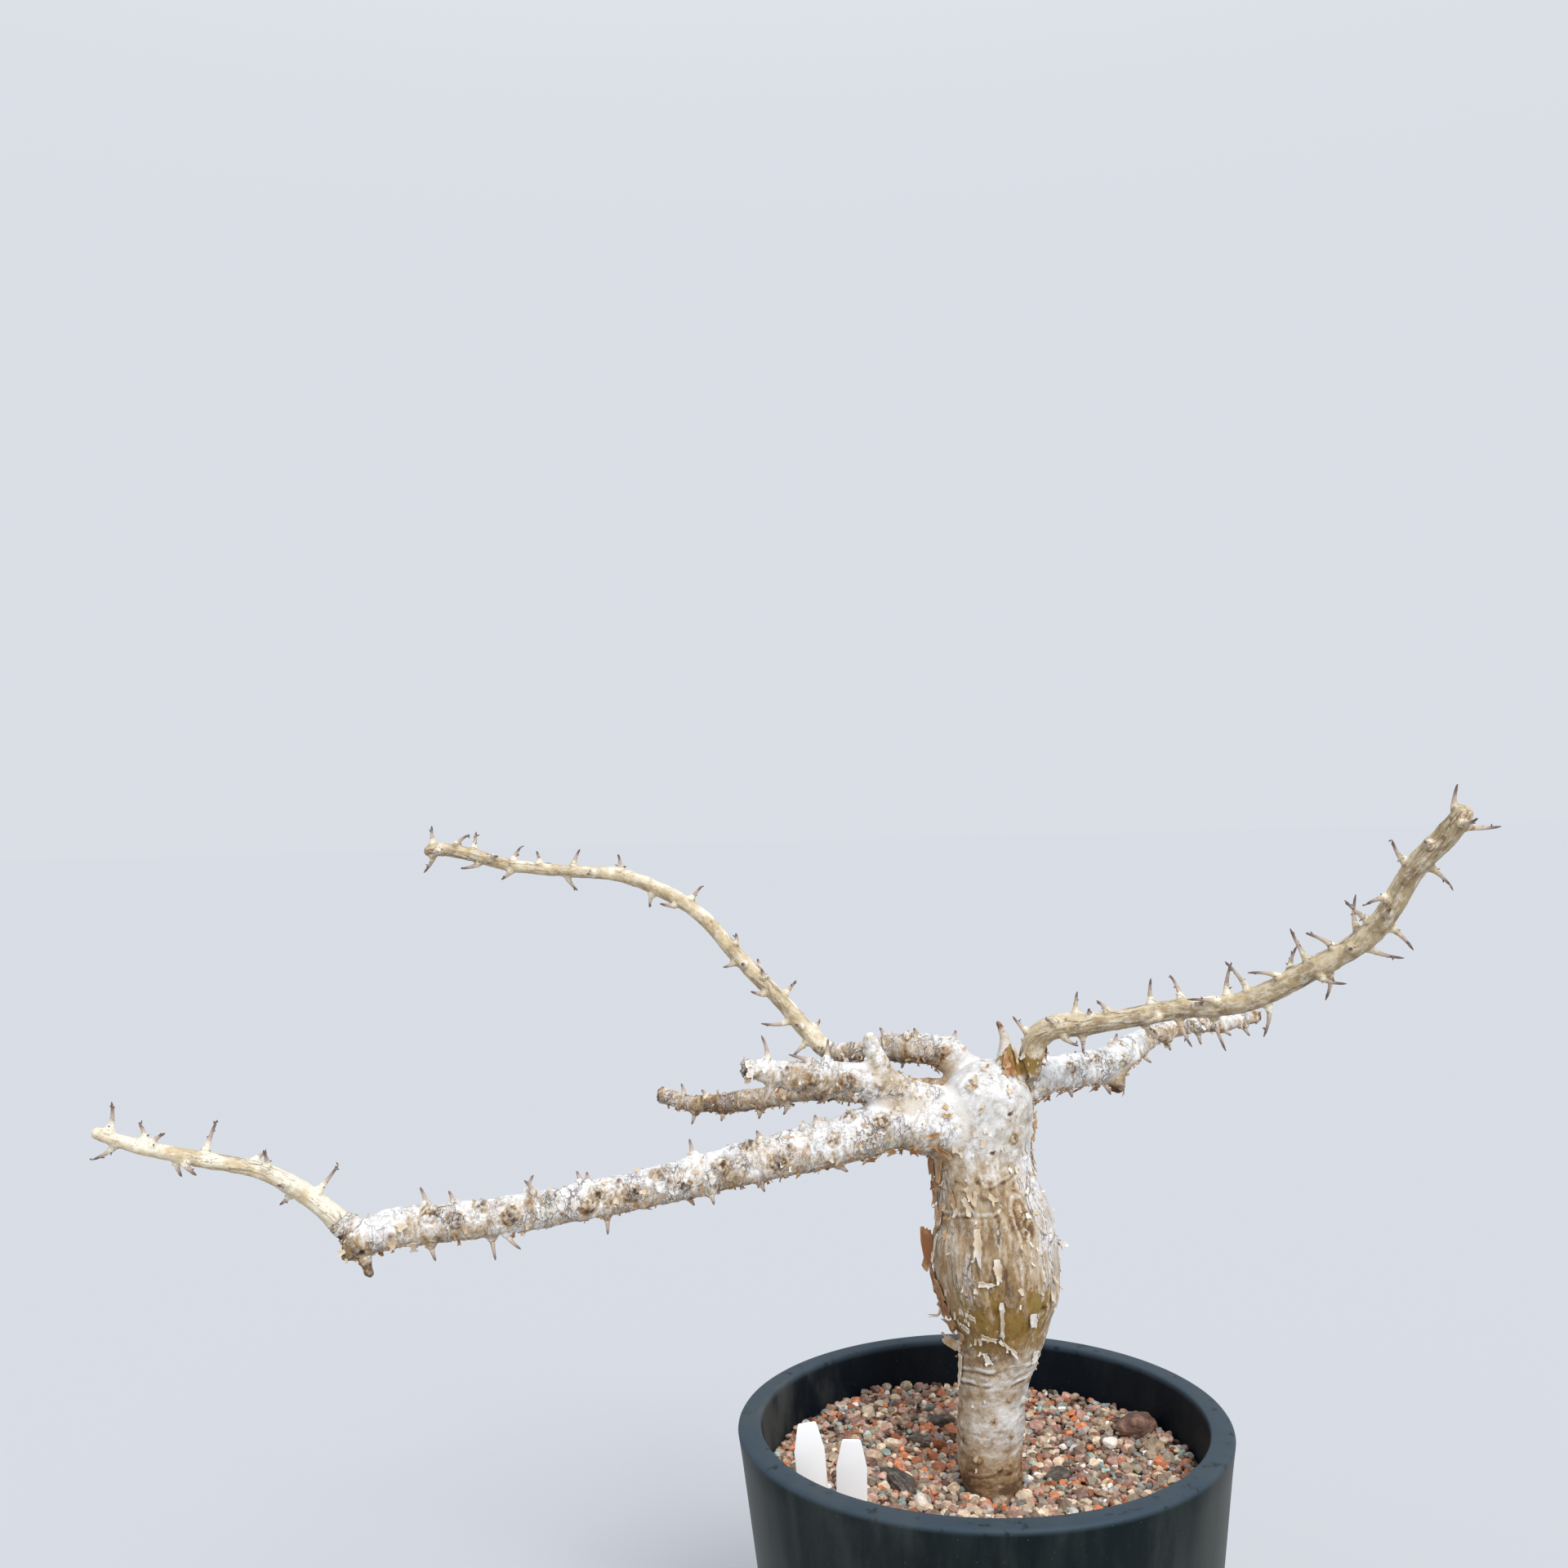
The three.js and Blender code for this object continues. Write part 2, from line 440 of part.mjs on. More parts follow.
// Grit: fills the pot, with coarse grains raised on its top by seeded draws.
function buildGrit() {
  const bottom = POT_FLOOR + SEAT_GAP;
  const lowFillet = 6;
  const top = gritHeight(GRIT_EDGE_RADIUS, 0);
  const profile = [[0, bottom], [innerRadiusAt(bottom) - lowFillet - SEAT_GAP, bottom]];
  profile.push([innerRadiusAt(bottom + lowFillet) - SEAT_GAP, bottom + lowFillet]);
  for (let ring = GRIT_RINGS; ring >= 0; ring -= 1) profile.push([ring / GRIT_RINGS * GRIT_EDGE_RADIUS, top]);
  const points = profile.map(([radius, height]) => new THREE.Vector2(radius, height));
  const draw = seeded(17);
  const grains = Array.from({ length: GRIT_RINGS * GRIT_SIDES }, () => draw());
  const body = new THREE.LatheGeometry(points, GRIT_SIDES).rotateX(Math.PI / 2);
  return toSolid(reshape(body, (point) => {
    if (point.z < top - 1) return;
    const radius = Math.hypot(point.x, point.y);
    const ring = Math.round(radius / GRIT_EDGE_RADIUS * GRIT_RINGS);
    const side = Math.round((Math.atan2(point.y, point.x) / (Math.PI * 2) + 1) * GRIT_SIDES) % GRIT_SIDES;
    const grain = ring === 0 ? 0.5 : grains[(ring - 1) * GRIT_SIDES + side];
    const height = gritHeight(point.x, point.y) + (grain - 0.5) * GRAIN_RELIEF;
    const reach = ring === GRIT_RINGS ? innerRadiusAt(height) - SEAT_GAP : radius + (grain * 7 % 1 - 0.5) * 3;
    const scale = ring === 0 ? 1 : reach / radius;
    point.set(point.x * scale, point.y * scale, height);
  }));
}

// Plain hole that the trunk's buried end stands in: the trunk's own form, wider by the seat gap.
function trunkHole() {
  const wider = TRUNK.map(([x, y, z, radius], i) => [x, y, i === 0 ? z - SEAT_GAP : z, radius + SEAT_GAP]);
  return new Stem(wider, { top: [0, -1, 0] }).solid(TRUNK_FORM);
}

// Rounded stone or pebble; grown by `extra` it also cuts its own seat in the grit.
function stone({ place: [x, y, length, width, height, turn], seed }, extra = 0) {
  const draw = seeded(seed);
  const phase = [draw() * 6, draw() * 6, draw() * 6];
  const geometry = new THREE.IcosahedronGeometry(1, 1);
  const sunk = gritHeight(x, y) + height * 0.45;
  return toSolid(reshape(geometry, (point) => {
    const swell = Math.sin(3 * point.x + phase[0]) * Math.sin(3 * point.y + phase[1] + point.z + phase[2]);
    const lump = 1 + 0.1 * swell;
    point.x *= length * lump + extra;
    point.y *= width * lump + extra;
    point.z *= height * lump + extra;
  }).rotateZ(THREE.MathUtils.degToRad(turn)).translate(x, y, sunk));
}

// Splintered wood chip, lying on the grit.
function barkChip({ place: [x, y, length, width, height, turn], seed }, extra = 0) {
  const draw = seeded(seed);
  const phase = draw() * 6;
  const geometry = new THREE.BoxGeometry(2, 2, 2, 4, 1, 1);
  const sunk = gritHeight(x, y) + height * 0.5;
  return toSolid(reshape(geometry, (point) => {
    const taper = 1 - 0.45 * Math.abs(point.x) ** 2 + 0.12 * Math.sin(4 * point.x + phase);
    const bow = 0.25 * height * point.x * point.x;
    point.set(
      point.x * (length + extra),
      point.y * (width * taper + extra),
      point.z * (height * taper + extra) - bow,
    );
  }).rotateZ(THREE.MathUtils.degToRad(turn)).translate(x, y, sunk));
}

// Blank label with shoulders; grown by `extra` it also cuts its own slot.
function label({ foot: [x, y], height, lean, turn }, extra = 0) {
  const half = LABEL_WIDTH / 2 + extra;
  const topHalf = LABEL_TOP_WIDTH / 2 + extra;
  const low = -LABEL_BURIED - extra;
  const outline = new THREE.Shape();
  outline.moveTo(-half * 0.3, low);
  outline.lineTo(half * 0.3, low);
  outline.lineTo(half, low + LABEL_WIDTH);
  outline.lineTo(half, height - LABEL_SHOULDER);
  outline.lineTo(topHalf, height - 1);
  outline.lineTo(topHalf - 1, height);
  outline.lineTo(-topHalf + 1, height);
  outline.lineTo(-topHalf, height - 1);
  outline.lineTo(-half, height - LABEL_SHOULDER);
  outline.lineTo(-half, low + LABEL_WIDTH);
  outline.closePath();
  const depth = LABEL_THICKNESS + 2 * extra;
  const sheet = new THREE.ExtrudeGeometry(outline, { depth, bevelEnabled: false });
  sheet.translate(0, 0, -depth / 2);
  sheet.rotateZ(THREE.MathUtils.degToRad(lean)).rotateX(Math.PI / 2).rotateZ(THREE.MathUtils.degToRad(turn));
  return toSolid(sheet.translate(x, y, gritHeight(x, y)));
}

place('pot', buildPot(), POT_PLASTIC);

let grit = buildGrit().subtract(trunkHole());
Object.values(STONES).forEach((item) => { grit = grit.subtract(stone(item, SEAT_GAP)); });
BARK_CHIPS.forEach((item) => { grit = grit.subtract(barkChip(item, SEAT_GAP)); });
Object.values(LABELS).forEach((item) => { grit = grit.subtract(label(item, SEAT_GAP)); });
place('grit', grit, GRAVEL);

place('old_wood', buildOldWood(), BARK);
place('shoot_left', buildShoot(leftShoot, LEFT_SHOOT_START, LEFT_SHOOT_SPINES, 11), YOUNG_BARK);
const upperLeft = buildShoot(upperLeftShoot, UPPER_LEFT_SHOOT_START, UPPER_LEFT_SHOOT_SPINES, 12);
place('shoot_upper_left', upperLeft, YOUNG_BARK);
place('shoot_right', buildShoot(rightShoot, RIGHT_SHOOT_START, RIGHT_SHOOT_SPINES, 13), YOUNG_BARK);

Object.entries(LABELS).forEach(([name, item]) => place(name, label(item), LABEL_PLASTIC));
Object.entries(STONES).forEach(([name, item]) => {
  place(name, stone(item), { color: item.colour, roughness: item.roughness, metalness: 0 });
});
BARK_CHIPS.forEach((item, i) => place(`bark_chip_${i + 1}`, barkChip(item), CHIP_WOOD));

export default group;
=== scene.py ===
"""Leafless caudex shrub in a dark pot: bark, spines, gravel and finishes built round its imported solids.

Everything is in metres in the part's own frame: origin under the pot, +Z up, the viewer at -Y.
"""

import logging
import math
from abc import ABC, abstractmethod
from dataclasses import dataclass, field
from enum import Enum
from typing import Callable, Sequence, Union

import bpy
import numpy as np
from mathutils import Matrix, Vector
from mathutils.kdtree import KDTree


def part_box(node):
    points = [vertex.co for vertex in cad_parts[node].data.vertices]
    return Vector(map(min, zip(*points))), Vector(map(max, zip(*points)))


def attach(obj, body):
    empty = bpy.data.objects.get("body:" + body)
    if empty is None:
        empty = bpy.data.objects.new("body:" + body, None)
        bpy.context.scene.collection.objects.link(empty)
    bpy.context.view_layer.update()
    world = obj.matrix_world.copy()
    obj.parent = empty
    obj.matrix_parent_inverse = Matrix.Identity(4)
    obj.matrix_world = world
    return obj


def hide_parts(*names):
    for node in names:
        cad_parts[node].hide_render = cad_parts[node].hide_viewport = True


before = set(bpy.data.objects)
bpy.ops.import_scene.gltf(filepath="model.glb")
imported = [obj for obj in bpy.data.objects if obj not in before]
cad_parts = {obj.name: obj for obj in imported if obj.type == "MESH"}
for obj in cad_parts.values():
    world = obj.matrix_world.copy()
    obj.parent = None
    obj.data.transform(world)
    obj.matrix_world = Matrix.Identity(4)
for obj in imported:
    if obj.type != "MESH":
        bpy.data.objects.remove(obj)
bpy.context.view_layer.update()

log = logging.getLogger("potted_shrub")

MM = 0.001
BODY = "root"

Array = np.ndarray
Object = bpy.types.Object
Material = bpy.types.Material
Node = bpy.types.Node
NodeTree = bpy.types.NodeTree
Socket = bpy.types.NodeSocket
Colour = tuple[float, float, float]
Input = Union[Socket, float, int, Sequence[float]]
Rule = Callable[[Array, Array], Array]
Tube = tuple[Array, Array]
Mesh = tuple[Array, Array]
RoutePoint = tuple[float, float, float, float]
SpinePlace = tuple[float, float, float, float]
StripPlace = tuple["Stem", float, float, float, float, float, float, float]


class Slot(Enum):
    """Material slots of the record, by name."""

    POT = "pot_plastic"
    GRAVEL = "gravel"
    OLD_BARK = "old_bark"
    YOUNG_BARK = "young_bark"
    LABEL = "label_plastic"
    LAVA = "lava_rock"
    TAN = "tan_rock"
    WHITE = "white_rock"
    SPECKLED = "speckled_rock"
    CHIP = "chip_wood"


class Heading(Enum):
    """Which way a stem grows, so that turns round it are counted towards the viewer."""

    LEFTWARD = -1
    RIGHTWARD = 1


# Helpers for objects and meshes


def select_only(piece: Object) -> None:
    """Makes one object the only selected and active one."""
    bpy.ops.object.select_all(action="DESELECT")
    piece.select_set(True)
    bpy.context.view_layer.objects.active = piece


def apply_modifiers(piece: Object) -> None:
    """Applies every modifier of a piece in order."""
    select_only(piece)
    for modifier in list(piece.modifiers):
        bpy.ops.object.modifier_apply(modifier=modifier.name)


def settle(piece: Object) -> None:
    """Puts a piece's place, turn and scale into its mesh."""
    select_only(piece)
    bpy.ops.object.transform_apply(location=True, rotation=True, scale=True)


def settle_at(piece: Object, place: Vector, turn: float) -> None:
    """Turns a piece about its upright axis, in degrees, moves it to a place and settles it."""
    piece.rotation_euler = (0.0, 0.0, math.radians(turn))
    piece.location = place
    settle(piece)


def vertex_rows(piece: Object, key: str) -> Array:
    """One vector of each vertex of a mesh as rows of x, y, z."""
    flat = np.empty(len(piece.data.vertices) * 3)
    piece.data.vertices.foreach_get(key, flat)
    return flat.reshape(-1, 3)


def positions(piece: Object) -> Array:
    """Vertex places of a mesh as rows of x, y, z."""
    return vertex_rows(piece, "co")


def set_positions(piece: Object, places: Array) -> None:
    """Writes vertex places back to a mesh."""
    piece.data.vertices.foreach_set("co", places.astype(np.float32).ravel())
    piece.data.update()


def normals(piece: Object) -> Array:
    """Vertex normals of a mesh."""
    return vertex_rows(piece, "normal")


def edges(piece: Object) -> Array:
    """Edges of a mesh as rows of two vertex numbers."""
    flat = np.empty(len(piece.data.edges) * 2, np.int32)
    piece.data.edges.foreach_get("vertices", flat)
    return flat.reshape(-1, 2)


def set_value(piece: Object, name: str, values: Array) -> None:
    """Stores a number or a vector per vertex for the finish to read.

    Args:
        piece: The mesh object.
        name: Attribute name.
        values: One number or one row of three per vertex.
    """
    kind, key = ("FLOAT", "value") if values.ndim == 1 else ("FLOAT_VECTOR", "vector")
    layer = piece.data.attributes.new(name, kind, "POINT")
    layer.data.foreach_set(key, values.astype(np.float32).ravel())


def mesh_piece(name: str, places: Array, faces: Array) -> Object:
    """New mesh object from arrays of places and triangles.

    Args:
        name: Object name.
        places: Rows of x, y, z.
        faces: Rows of three vertex numbers.

    Returns:
        The linked object.
    """
    mesh = bpy.data.meshes.new(name)
    mesh.vertices.add(len(places))
    mesh.vertices.foreach_set("co", places.astype(np.float32).ravel())
    mesh.loops.add(faces.size)
    mesh.loops.foreach_set("vertex_index", faces.astype(np.int32).ravel())
    mesh.polygons.add(len(faces))
    mesh.polygons.foreach_set("loop_start", np.arange(0, faces.size, 3, dtype=np.int32))
    mesh.update(calc_edges=True)
    mesh.validate()
    piece = bpy.data.objects.new(name, mesh)
    bpy.context.scene.collection.objects.link(piece)
    return piece


def triangles(piece: Object) -> Array:
    """Triangles of a mesh as rows of vertex numbers."""
    piece.data.calc_loop_triangles()
    flat = np.empty(len(piece.data.loop_triangles) * 3, np.int32)
    piece.data.loop_triangles.foreach_get("vertices", flat)
    return flat.reshape(-1, 3)


def hand_in(
    piece: Object, finish: Material, stands_for: Sequence[str] = (), sharp: float = 60.0
) -> None:
    """Dresses a finished piece and fixes it to the part.

    Args:
        piece: The finished mesh object.
        finish: Its material.
        stands_for: Names of the solids that the piece replaces.
        sharp: Angle in degrees past which an edge stays sharp.
    """
    piece.data.materials.clear()
    piece.data.materials.append(finish)
    select_only(piece)
    bpy.ops.object.shade_smooth_by_angle(angle=math.radians(sharp))
    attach(piece, BODY)
    if stands_for:
        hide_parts(*stands_for)
    log.info("%s: %d triangles", piece.name, len(triangles(piece)))


def smoothstep(low: float, high: float, values: Array) -> Array:
    """Eased 0 to 1 ramp between two values."""
    ramp = np.clip((values - low) / (high - low), 0.0, 1.0)
    return ramp * ramp * (3.0 - 2.0 * ramp)


def bell(values: Array, width: float = 1.0) -> Array:
    """1 where the values are 0, falling away smoothly over a width."""
    return np.exp(-((values / width) ** 2))


def away_from(places: Array, spot: Sequence[float]) -> Array:
    """How far places in metres are from a spot in millimetres, in millimetres."""
    return np.linalg.norm(places / MM - np.array(spot), axis=1)


def started(name: str, add: Callable[..., set[str]], **settings: object) -> Object:
    """New named object from one of Blender's own operators that add a shape."""
    bpy.ops.object.select_all(action="DESELECT")
    add(**settings)
    piece = bpy.context.object
    piece.name = name
    return piece


def loft(
    piece: Object, rows: Sequence[tuple[float, float]], flat: bool = False, insets: int = 0, step: float = 0.0
) -> None:
    """Extrudes a level face upwards through sections and turns all faces outward.

    Args:
        piece: A level face at the first section.
        rows: Width and height of each section in millimetres.
        flat: Whether only the width along X changes.
        insets: How many rings the last face is divided into.
        step: Width of those rings in millimetres.
    """
    bpy.ops.object.mode_set(mode="EDIT")
    bpy.ops.mesh.select_mode(type="FACE")
    bpy.ops.mesh.select_all(action="SELECT")
    for (width, height), (wider, higher) in zip(rows, rows[1:]):
        growth = wider / width
        bpy.ops.mesh.extrude_region_move(TRANSFORM_OT_translate={"value": (0, 0, (higher - height) * MM)})
        deeper = 1 if flat else growth
        bpy.ops.transform.resize(value=(growth, deeper, 1), center_override=(0, 0, higher * MM))
    for _ in range(insets):
        bpy.ops.mesh.inset(thickness=step * MM)
    bpy.ops.mesh.select_all(action="SELECT")
    bpy.ops.mesh.normals_make_consistent(inside=False)
    bpy.ops.object.mode_set(mode="OBJECT")


class Noise:
    """Seeded value noise and cell noise on points in space."""

    TABLE = 4096
    PRIMES = (73856093, 19349663, 83492791)
    SALT = 2654435
    OCTAVE_SHIFT = 17.3
    CONTRAST = 1.6

    def __init__(self, seed: int) -> None:
        """Draws the table that lattice corners look up."""
        self.table = np.random.default_rng(seed).random(self.TABLE)

    def _corner(self, cell: Array, salt: int = 0) -> Array:
        """Random value of lattice corners, given as rows of whole numbers."""
        i, j, k = (cell[..., axis] * prime for axis, prime in enumerate(self.PRIMES))
        mixed = i ^ j ^ k ^ (salt * self.SALT)
        mixed = mixed ^ (mixed >> 7) ^ (mixed >> 15)
        return self.table[mixed & (self.TABLE - 1)]

    def value(self, points: Array) -> Array:
        """Smooth noise from 0 to 1 at each point."""
        base = np.floor(points).astype(np.int64)
        part = points - base
        part = part * part * (3.0 - 2.0 * part)
        total = np.zeros(len(points))
        for corner in range(8):
            step = np.array([corner & 1, corner >> 1 & 1, corner >> 2 & 1])
            weight = np.prod(np.where(step, part, 1.0 - part), axis=1)
            total += weight * self._corner(base + step)
        return total

    def fractal(self, points: Array, octaves: int = 4, gain: float = 0.5) -> Array:
        """Layered noise centred on 0, about -1 to 1."""
        total = np.zeros(len(points))
        reach = 1.0
        spread = 0.0
        for octave in range(octaves):
            shifted = points * 2.0**octave + self.OCTAVE_SHIFT * octave
            total += reach * (self.value(shifted) * 2.0 - 1.0)
            spread += reach
            reach *= gain
        return total / spread * self.CONTRAST

    def facets(self, points: Array) -> Array:
        """How far each point is from the edge of the noise cell it lies in, in cell widths."""
        base = np.floor(points).astype(np.int64)
        nearest = second = np.full(len(points), 9.0)
        for offset in np.ndindex(3, 3, 3):
            cell = base + np.array(offset) - 1
            centre = cell + np.stack([self._corner(cell, salt) for salt in (1, 2, 3)], axis=1)
            away = np.linalg.norm(points - centre, axis=1)
            second = np.minimum(second, np.maximum(nearest, away))
            nearest = np.minimum(nearest, away)
        return second - nearest


# Stems


class Stem:
    """A stem grown along a smooth curve through its route, with a frame and a girth all along it."""

    STEP = 1.0
    CURVE_STEPS = 24
    SPINE_ROWS = 12
    BARK_ROW = 3
    HOOK_RADII = (0.62, 0.5, 0.36, 0.12)

    def __init__(
        self,
        route: Sequence[RoutePoint],
        heading: Heading = Heading.RIGHTWARD,
        top: Sequence[float] = (0.0, 0.0, 1.0),
    ) -> None:
        """Samples the curve every millimetre.

        Args:
            route: Points as x, y, z and radius in millimetres.
            heading: The way it grows.
            top: The direction that turns are counted from.
        """
        points = np.array(route, float)
        fine = self._curve(points)
        steps = np.linalg.norm(np.diff(fine[:, :3], axis=0), axis=1)
        lengths = np.concatenate([[0.0], np.cumsum(steps)])
        self.length = float(lengths[-1])
        self.at = np.linspace(0.0, self.length, max(8, int(self.length / self.STEP)))
        path = np.stack([np.interp(self.at, lengths, fine[:, axis]) for axis in range(4)], axis=1)
        self.centre = path[:, :3]
        self.girth = path[:, 3]
        along = np.gradient(self.centre, axis=0)
        self.along = along / np.linalg.norm(along, axis=1, keepdims=True)
        lead = np.array(top, float)
        across = lead - self.along * (self.along @ lead)[:, None]
        self.top = across / np.linalg.norm(across, axis=1, keepdims=True)
        self.side = np.cross(self.along, self.top) * heading.value

    @staticmethod
    def _curve(points: Array) -> Array:
        """Centripetal curve through the route, with the radius blended linearly."""
        first = 2 * points[0] - points[1]
        last = 2 * points[-1] - points[-2]
        spans = np.vstack([first, points, last])
        rows = []
        for i in range(1, len(spans) - 2):
            p0, p1, p2, p3 = spans[i - 1][:3], spans[i][:3], spans[i + 1][:3], spans[i + 2][:3]
            d0, d1, d2 = (np.sum((b - a) ** 2) ** 0.25 for a, b in ((p0, p1), (p1, p2), (p2, p3)))
            t1 = ((p1 - p0) / d0 - (p2 - p0) / (d0 + d1) + (p2 - p1) / d1) * d1
            t2 = ((p2 - p1) / d1 - (p3 - p1) / (d1 + d2) + (p3 - p2) / d2) * d1
            bend, twist = -3 * p1 + 3 * p2 - 2 * t1 - t2, 2 * p1 - 2 * p2 + t1 + t2
            for w in np.linspace(0.0, 1.0, Stem.CURVE_STEPS, endpoint=False):
                place = p1 + t1 * w + bend * w**2 + twist * w**3
                rows.append([*place, spans[i][3] + (spans[i + 1][3] - spans[i][3]) * w])
        rows.append(points[-1])
        return np.array(rows)

    def here(self, distance: float) -> tuple[Array, Array, Array, Array, float]:
        """Centre, direction, top, side and radius at a distance up the stem."""
        i = int(np.clip(round(distance / self.length * (len(self.at) - 1)), 0, len(self.at) - 1))
        return self.centre[i], self.along[i], self.top[i], self.side[i], float(self.girth[i])

    def outward(self, distance: float, turn: float) -> tuple[Array, Array, Array, float]:
        """Centre, direction, outward direction at a turn in degrees, and radius."""
        centre, along, top, side, girth = self.here(distance)
        angle = math.radians(turn)
        return centre, along, math.cos(angle) * top + math.sin(angle) * side, girth

    def tube(self, start: float = 0.0, end: float | None = None, blunt: float = 1.0) -> Tube:
        """Path and radii of the stem's body, with rounded ends.

        Args:
            start: Distance at which the body begins.
            end: Distance at which it ends, or None for the tip.
            blunt: 1 for a round tip, more for a flatter one.

        Returns:
            Rows of x, y, z and one radius each, in millimetres.
        """
        end = self.length if end is None else end
        inside = (self.at >= start) & (self.at <= end)
        at = self.at[inside]
        radii = self.girth[inside].copy()
        for gap, girth in (((end - at) * blunt, radii[-1]), (at - start, radii[0])):
            shrink = np.sqrt(np.clip(1.0 - (1.0 - np.minimum(1.0, gap / girth)) ** 2, 0.0, 1.0))
            radii = radii * np.maximum(shrink, 0.08)
        return self.centre[inside], radii

    def spine(self, place: SpinePlace, root: float, tip: float, until: float = 1.0) -> Tube:
        """Path and radii of one spine.

        Args:
            place: Distance up the stem, turn, reach and lean along it.
            root: Radius where it leaves the bark.
            tip: Radius at its end.
            until: Share of its reach that is made.

        Returns:
            Rows of x, y, z and one radius each, in millimetres.
        """
        distance, turn, reach, lean = place
        centre, along, out, girth = self.outward(distance, turn)
        rise = np.linspace(-0.35, until, self.SPINE_ROWS)
        height = girth + np.where(rise < 0, rise * girth, rise * reach)
        drift = lean * np.clip(rise, 0, 1) ** 1.7
        path = centre + out * height[:, None] + along * drift[:, None]
        up = np.clip(rise, 0.0, 1.0)
        radii = tip + (root - tip) * (1.0 - up) ** 1.5 + root * 0.55 * np.exp(-up * reach / 1.3)
        if until == 1.0:
            radii[-1] = tip * 0.4
        return path, radii

    def barbs(self, place: SpinePlace, root: float, tip: float, draw: np.random.Generator) -> list[Tube]:
        """Small hooks on one spine: one at its foot and a few towards its end.

        Args:
            place: The spine's distance, turn, reach and lean.
            root: Its radius at the bark.
            tip: Its radius at its end.
            draw: Source of chance.

        Returns:
            Paths and radii of the hooks.
        """
        path, _ = self.spine(place, root, tip)
        spots = [(draw.uniform(0.4, 0.98), draw.uniform(1.5, 2.9)) for _ in range(int(place[2] // 4))]
        if place[2] > 6.5:
            spots.append((0.12, draw.uniform(2.6, 3.6)))
        hooks = []
        last = self.SPINE_ROWS - 1
        for part, length in spots:
            row = self.BARK_ROW + round(part * (last - self.BARK_ROW))
            run = path[min(row + 1, last)] - path[row - 1]
            aim = 0.8 * run / np.linalg.norm(run) + draw.normal(size=3) * 0.7
            aim /= np.linalg.norm(aim)
            steps = np.linspace(0.0, 1.0, 4)[:, None]
            hooks.append((path[row] + aim * steps * length, np.array(self.HOOK_RADII)))
        return hooks


def swept(name: str, tubes: Sequence[Tube], roundness: int = 3) -> Object:
    """Tubes swept as bevelled curves with capped ends.

    Args:
        name: Object name.
        tubes: Paths and radii in millimetres.
        roundness: Bevel resolution of their section.

    Returns:
        The mesh object, in metres.
    """
    piece = started(name, bpy.ops.curve.primitive_nurbs_path_add)
    curve = piece.data
    curve.splines.clear()
    for path, radii in tubes:
        spline = curve.splines.new("POLY")
        spline.points.add(len(path) - 1)
        rows = np.column_stack([path * MM, np.ones(len(path))])
        spline.points.foreach_set("co", rows.ravel())
        spline.points.foreach_set("radius", radii * MM)
    curve.bevel_depth = 1.0
    curve.bevel_resolution = roundness
    curve.use_fill_caps = True
    select_only(piece)
    bpy.ops.object.convert(target="MESH")
    piece = bpy.context.object
    piece.data.name = name
    return piece


def grown_body(name: str, tubes: Sequence[Tube], voxel: float, ease: int) -> Object:
    """One skin over many tubes, made one body by remeshing and eased at the crotches.

    Args:
        name: Object name.
        tubes: Paths and radii in millimetres.
        voxel: Size of the remesh in millimetres.
        ease: How many rounds of smoothing.

    Returns:
        The mesh object, in metres.
    """
    piece = swept(name, tubes, 6)
    remesh = piece.modifiers.new("one_skin", "REMESH")
    remesh.mode = "VOXEL"
    remesh.voxel_size = voxel * MM
    smooth = piece.modifiers.new("ease", "SMOOTH")
    smooth.factor = 0.5
    smooth.iterations = ease
    apply_modifiers(piece)
    return piece


def along_tubes(places: Array, tubes: Sequence[Tube]) -> Array:
    """How far each point is along the tube nearest to it, 0 to 1."""
    rows = [(point, row / (len(path) - 1)) for path, _ in tubes for row, point in enumerate(path)]
    tree = KDTree(len(rows))
    for number, (point, _) in enumerate(rows):
        tree.insert(Vector(point) * MM, number)
    tree.balance()
    return np.array([rows[tree.find(Vector(place))[1]][1] for place in places])


def split_off(piece: Object, name: str, place: Sequence[float], normal: Sequence[float]) -> Object:
    """Cuts a closed piece in two at a plane and closes both halves.

    Args:
        piece: The piece, which keeps the side that the normal points away from.
        name: Name of the other half.
        place: A point on the plane.
        normal: The plane's normal.

    Returns:
        The other half.
    """
    select_only(piece)
    bpy.ops.object.duplicate()
    other = bpy.context.object
    other.name = other.data.name = name
    for half, clear in ((piece, "clear_outer"), (other, "clear_inner")):
        select_only(half)
        bpy.ops.object.mode_set(mode="EDIT")
        bpy.ops.mesh.select_all(action="SELECT")
        bpy.ops.mesh.bisect(plane_co=place, plane_no=normal, use_fill=True, **{clear: True})
        bpy.ops.object.mode_set(mode="OBJECT")
    return other


READING_STRIDE = 2
STEM_APART = 500.0


@dataclass
class StemReading:
    """Where each vertex of a skin lies on the stems under it."""

    stem: Array
    distance: Array
    turn: Array
    local: Array
    over: Array


